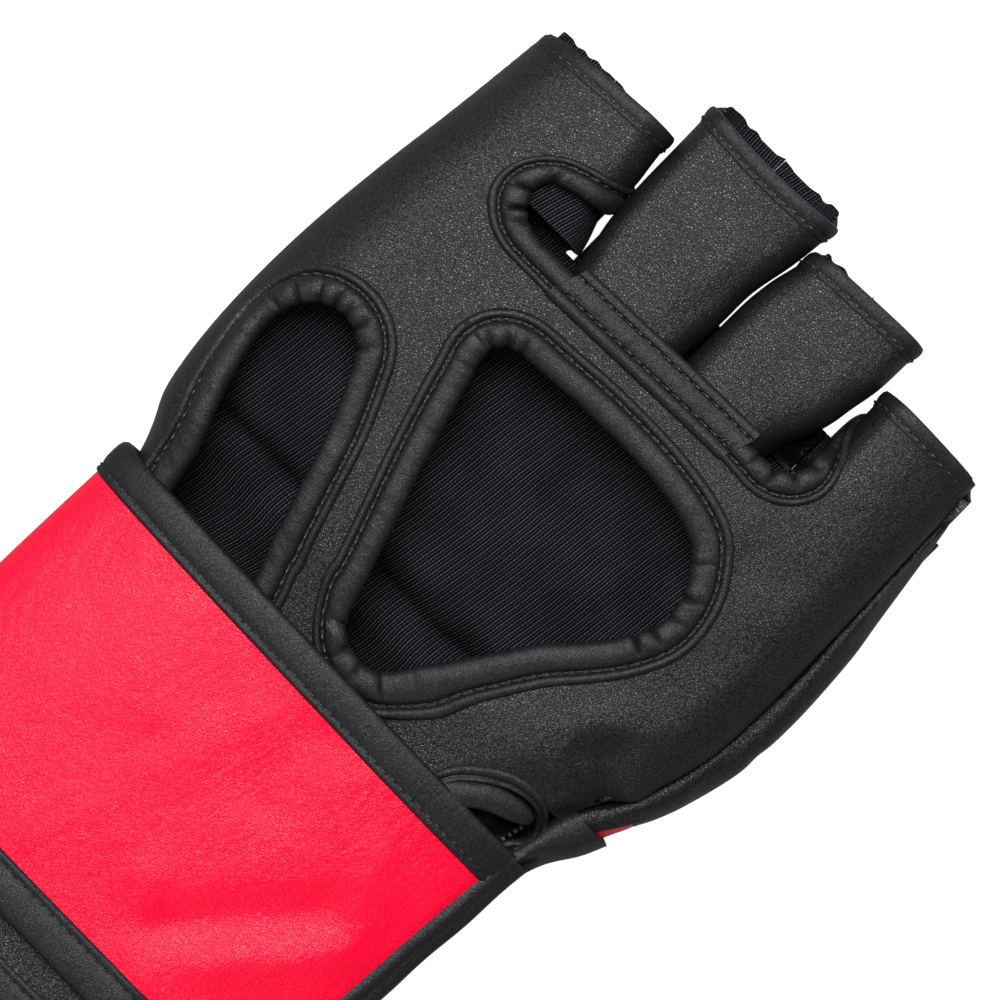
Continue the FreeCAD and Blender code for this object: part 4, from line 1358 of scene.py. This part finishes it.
for label, rows, node in (("top", TOP_EDGE, "strap_top_binding"),
                          ("bottom", LOW_EDGE, "strap_bottom_binding")):
    edge = strap_piece(f"strap_{label}_edge_leather", (SPLIT_RUN, PALM_END), rows, columns=300, thickness=0.5)
    nodes = (node, "strap_back_binding") if label == "top" else (node,)
    dress(edge, TRIM, blend=FOLD, nodes=nodes)
    edge = strap_piece(f"strap_tip_{label}_edge_leather", (TIP_RUN + 1.0, SPLIT_RUN), rows, columns=90,
                       thickness=0.5)
    dress(edge, TRIM, blend=TIP, nodes=("strap_tip_binding",) if label == "top" else ())


def ring_strip(name, columns, heights, y_lines, count=160, thickness=0.6):
    """A strip that runs along the arm: each column is a length along the strap's section and a height."""
    outer, inner, uv = [], [], []
    v = np.linspace(0, 1, count)
    for (run_top, run_low), h in zip(columns, heights):
        run = run_top + (run_low - run_top) * v
        turn = np.interp(run, ring_run, turn_steps)
        x = ring_point(turn, np.full(count, MID_Y), STRAP_GROW)[:, 0]
        y = y_lines[0](x) + (y_lines[1](x) - y_lines[0](x)) * v
        soft = 0.12 * np.sin(y / 3.1 + 1) + 0.1 * np.sin(y / 7.7)
        outer.append(ring_point(turn, y, STRAP_GROW + h + soft * (h > 0)))
        inner.append(ring_point(turn, y, STRAP_GROW + h - thickness))
        uv.append(np.c_[run, y])
    return skin(name, np.stack(outer, 1), np.stack(inner, 1), grid_faces(count, len(columns)),
                np.stack(uv, 1), flip=True)


PIPE = [(0.0, -0.6), (0.05, 0.2), (0.5, 1.0), (1.3, 1.35), (2.0, 1.2), (2.5, 0.55), (2.8, 0.35), (3.1, 0.6),
        (3.8, 1.45),
        (5.0, 1.75), (6.4, 1.5), (7.6, 1.2), (10.0, 1.1), (13.0, 0.9), (15.5, 0.5), (16.5, 0.0), (16.8, -1.4)]
pipe_top, pipe_low = run_at(43.6, False), run_at(41.4, False)
piping = ring_strip("strap_side_piping_leather", [(pipe_top + w, pipe_low + w) for w, h in PIPE],
                    [h for w, h in PIPE],
                    (lambda x: strap_top(x) - 0.6, strap_low))
dress(piping, TRIM, body="hand", nodes=("strap_side_piping",))

TIP_EDGE = [(4.0, -1.4), (1.0, -1.5), (0.2, -1.0), (0.0, -0.3), (0.3, 0.45), (1.2, 0.9), (3.0, 1.0),
            (5.2, 0.9), (6.2, 0.6),
            (6.6, 0.45), (7.0, 0.65), (7.7, 0.6), (8.1, 0.1), (8.2, -0.3)]
tip_edge = ring_strip("strap_tip_end_leather", [(TIP_RUN + w, TIP_RUN + w) for w, h in TIP_EDGE],
                      [h for w, h in TIP_EDGE], (lambda x: strap_top(x) - 0.4, lambda x: strap_low(x) + 0.4))
dress(tip_edge, TRIM, body="strap_tip")

PATCH_ROWS = [(v, 0.0, 0.0) for v in np.linspace(0.12, 0.88, 40)]
loops = strap_piece("loop_patch_tape", (run_at(35.0, True), run_at(-13.0, True)), PATCH_ROWS, columns=50,
                    thickness=0.35, base=0.45)
dress(loops, LOOPS, body="hand", nodes=("loop_patch",))
hooks = strap_piece("hook_patch_tape", (run_at(27.0, True), run_at(4.5, True)), PATCH_ROWS, columns=30,
                    thickness=0.35, base=1.15)
dress(hooks, HOOKS, body="strap_tip", nodes=("hook_patch",))

# the gusset at the little-finger side, between the palm's seam and the strap
def gusset_lift(u):
    return 0.5 + 1.1 * np.sin(math.pi * np.clip(u, 0, 1)) ** 0.6


gusset_u = np.linspace(0, 1, 40)
gusset = patch("pinky_side_gusset_leather", BACK_SIDE, -27.0, -6.4, 40, 36, u_range=(0.0, 0.17),
               lift=gusset_lift(gusset_u)[None, :])
dress(gusset, TRIM, body="hand", nodes=("pinky_side_gusset",))

# ---------------------------------------------------------------- stitching
def closed_line(line):
    return np.r_[line, line[:1]]


def strap_line(runs, share, dist):
    """The stitch line along one edge of the strap."""
    _, turn, x = strap_span(runs, 500)
    return strap_row(turn, x, share, dist, STRAP_GROW)[1](0.5)


hand_stitches = stitches("hand_stitching", [closed_line(keyhole_line), closed_line(thumb_line),
                                            cuff_stitch_line]
                         + strip_lines)
dress(hand_stitches, THREAD, body="hand")
for name in FINGERS:
    lines = hem_lines[name] + {"index": [index_line], "pinky": [pinky_line]}.get(name, [])
    dress(stitches(f"{name}_stitching", lines), THREAD, blend=curl(name))
EDGE_STITCH = 6.6
for name, runs, blend in (("strap_stitching", (SPLIT_RUN, run_at(43.0, False)), FOLD),
                          ("strap_tip_stitching", (TIP_RUN + 7, SPLIT_RUN - 0.5), TIP)):
    lines = [strap_line(runs, 0.0, -EDGE_STITCH), strap_line(runs, 1.0, EDGE_STITCH * LOW_EDGE_WIDER)]
    dress(stitches(name, lines), THREAD, blend=blend)

# ---------------------------------------------------------------- floor, light, camera
def backdrop():
    """The photograph's plain white ground: white to the camera with no shadow, and dim to the glove."""
    m = Nodes("floor_white")
    seen = m.spread(m.add("ShaderNodeLightPath").outputs["Is Camera Ray"], 0.0, 1.0, 0.12, 1.0)
    return m.finish(Base_Color=(0.12, 0.12, 0.12, 1.0), Roughness=0.9, Specular_IOR_Level=0.1,
                    Emission_Color=(1, 1, 1, 1),
                    Emission_Strength=seen)


bpy.ops.mesh.primitive_plane_add(size=6.0, location=(0, 0, -0.0006))
floor = bpy.context.object
floor.name = "floor"
floor.data.materials.append(backdrop())


def area_light(name, place, aim, size, power, color=(1, 1, 1)):
    data = bpy.data.lights.new(name, "AREA")
    data.shape, data.size, data.size_y = "RECTANGLE", size[0], size[1]
    data.energy, data.color = power, color
    obj = bpy.data.objects.new(name, data)
    obj.location = place
    obj.rotation_euler = (Vector(aim) - Vector(place)).to_track_quat("-Z", "Y").to_euler()
    bpy.context.scene.collection.objects.link(obj)


area_light("overhead", (-0.3, 0.3, 1.1), (0, 0, 0), (0.55, 0.55), 19.5)
area_light("left", (-0.95, -0.1, 0.75), (0, 0, 0), (0.7, 0.7), 4.5)
area_light("far", (0.5, 0.95, 0.7), (0, 0, 0), (0.7, 0.5), 6.0)
area_light("near", (0.35, -0.9, 0.6), (0, 0, 0), (0.8, 0.4), 3.0)
world = bpy.data.worlds.new("studio")
bpy.context.scene.world = world
world.use_nodes = True
world.node_tree.nodes["Background"].inputs[0].default_value = (0.96, 0.98, 1.0, 1.0)
world.node_tree.nodes["Background"].inputs[1].default_value = 0.2
bpy.context.scene.view_settings.view_transform = "Standard"

# the camera looks straight down at the palm's height, turned so that the glove lies across the picture
LOOK_AT = (-0.004, 0.026, 0.037)
DISTANCE, SPAN, SENSOR = 0.8, 0.1905, 36.0
camera_data = bpy.data.cameras.new("camera")
camera_data.sensor_width = SENSOR
camera_data.lens = SENSOR * DISTANCE / SPAN
camera = bpy.data.objects.new("camera", camera_data)
camera.location = (LOOK_AT[0], LOOK_AT[1], LOOK_AT[2] + DISTANCE)
camera.rotation_euler = (0, 0, math.radians(45))
bpy.context.scene.collection.objects.link(camera)
bpy.context.scene.camera = camera
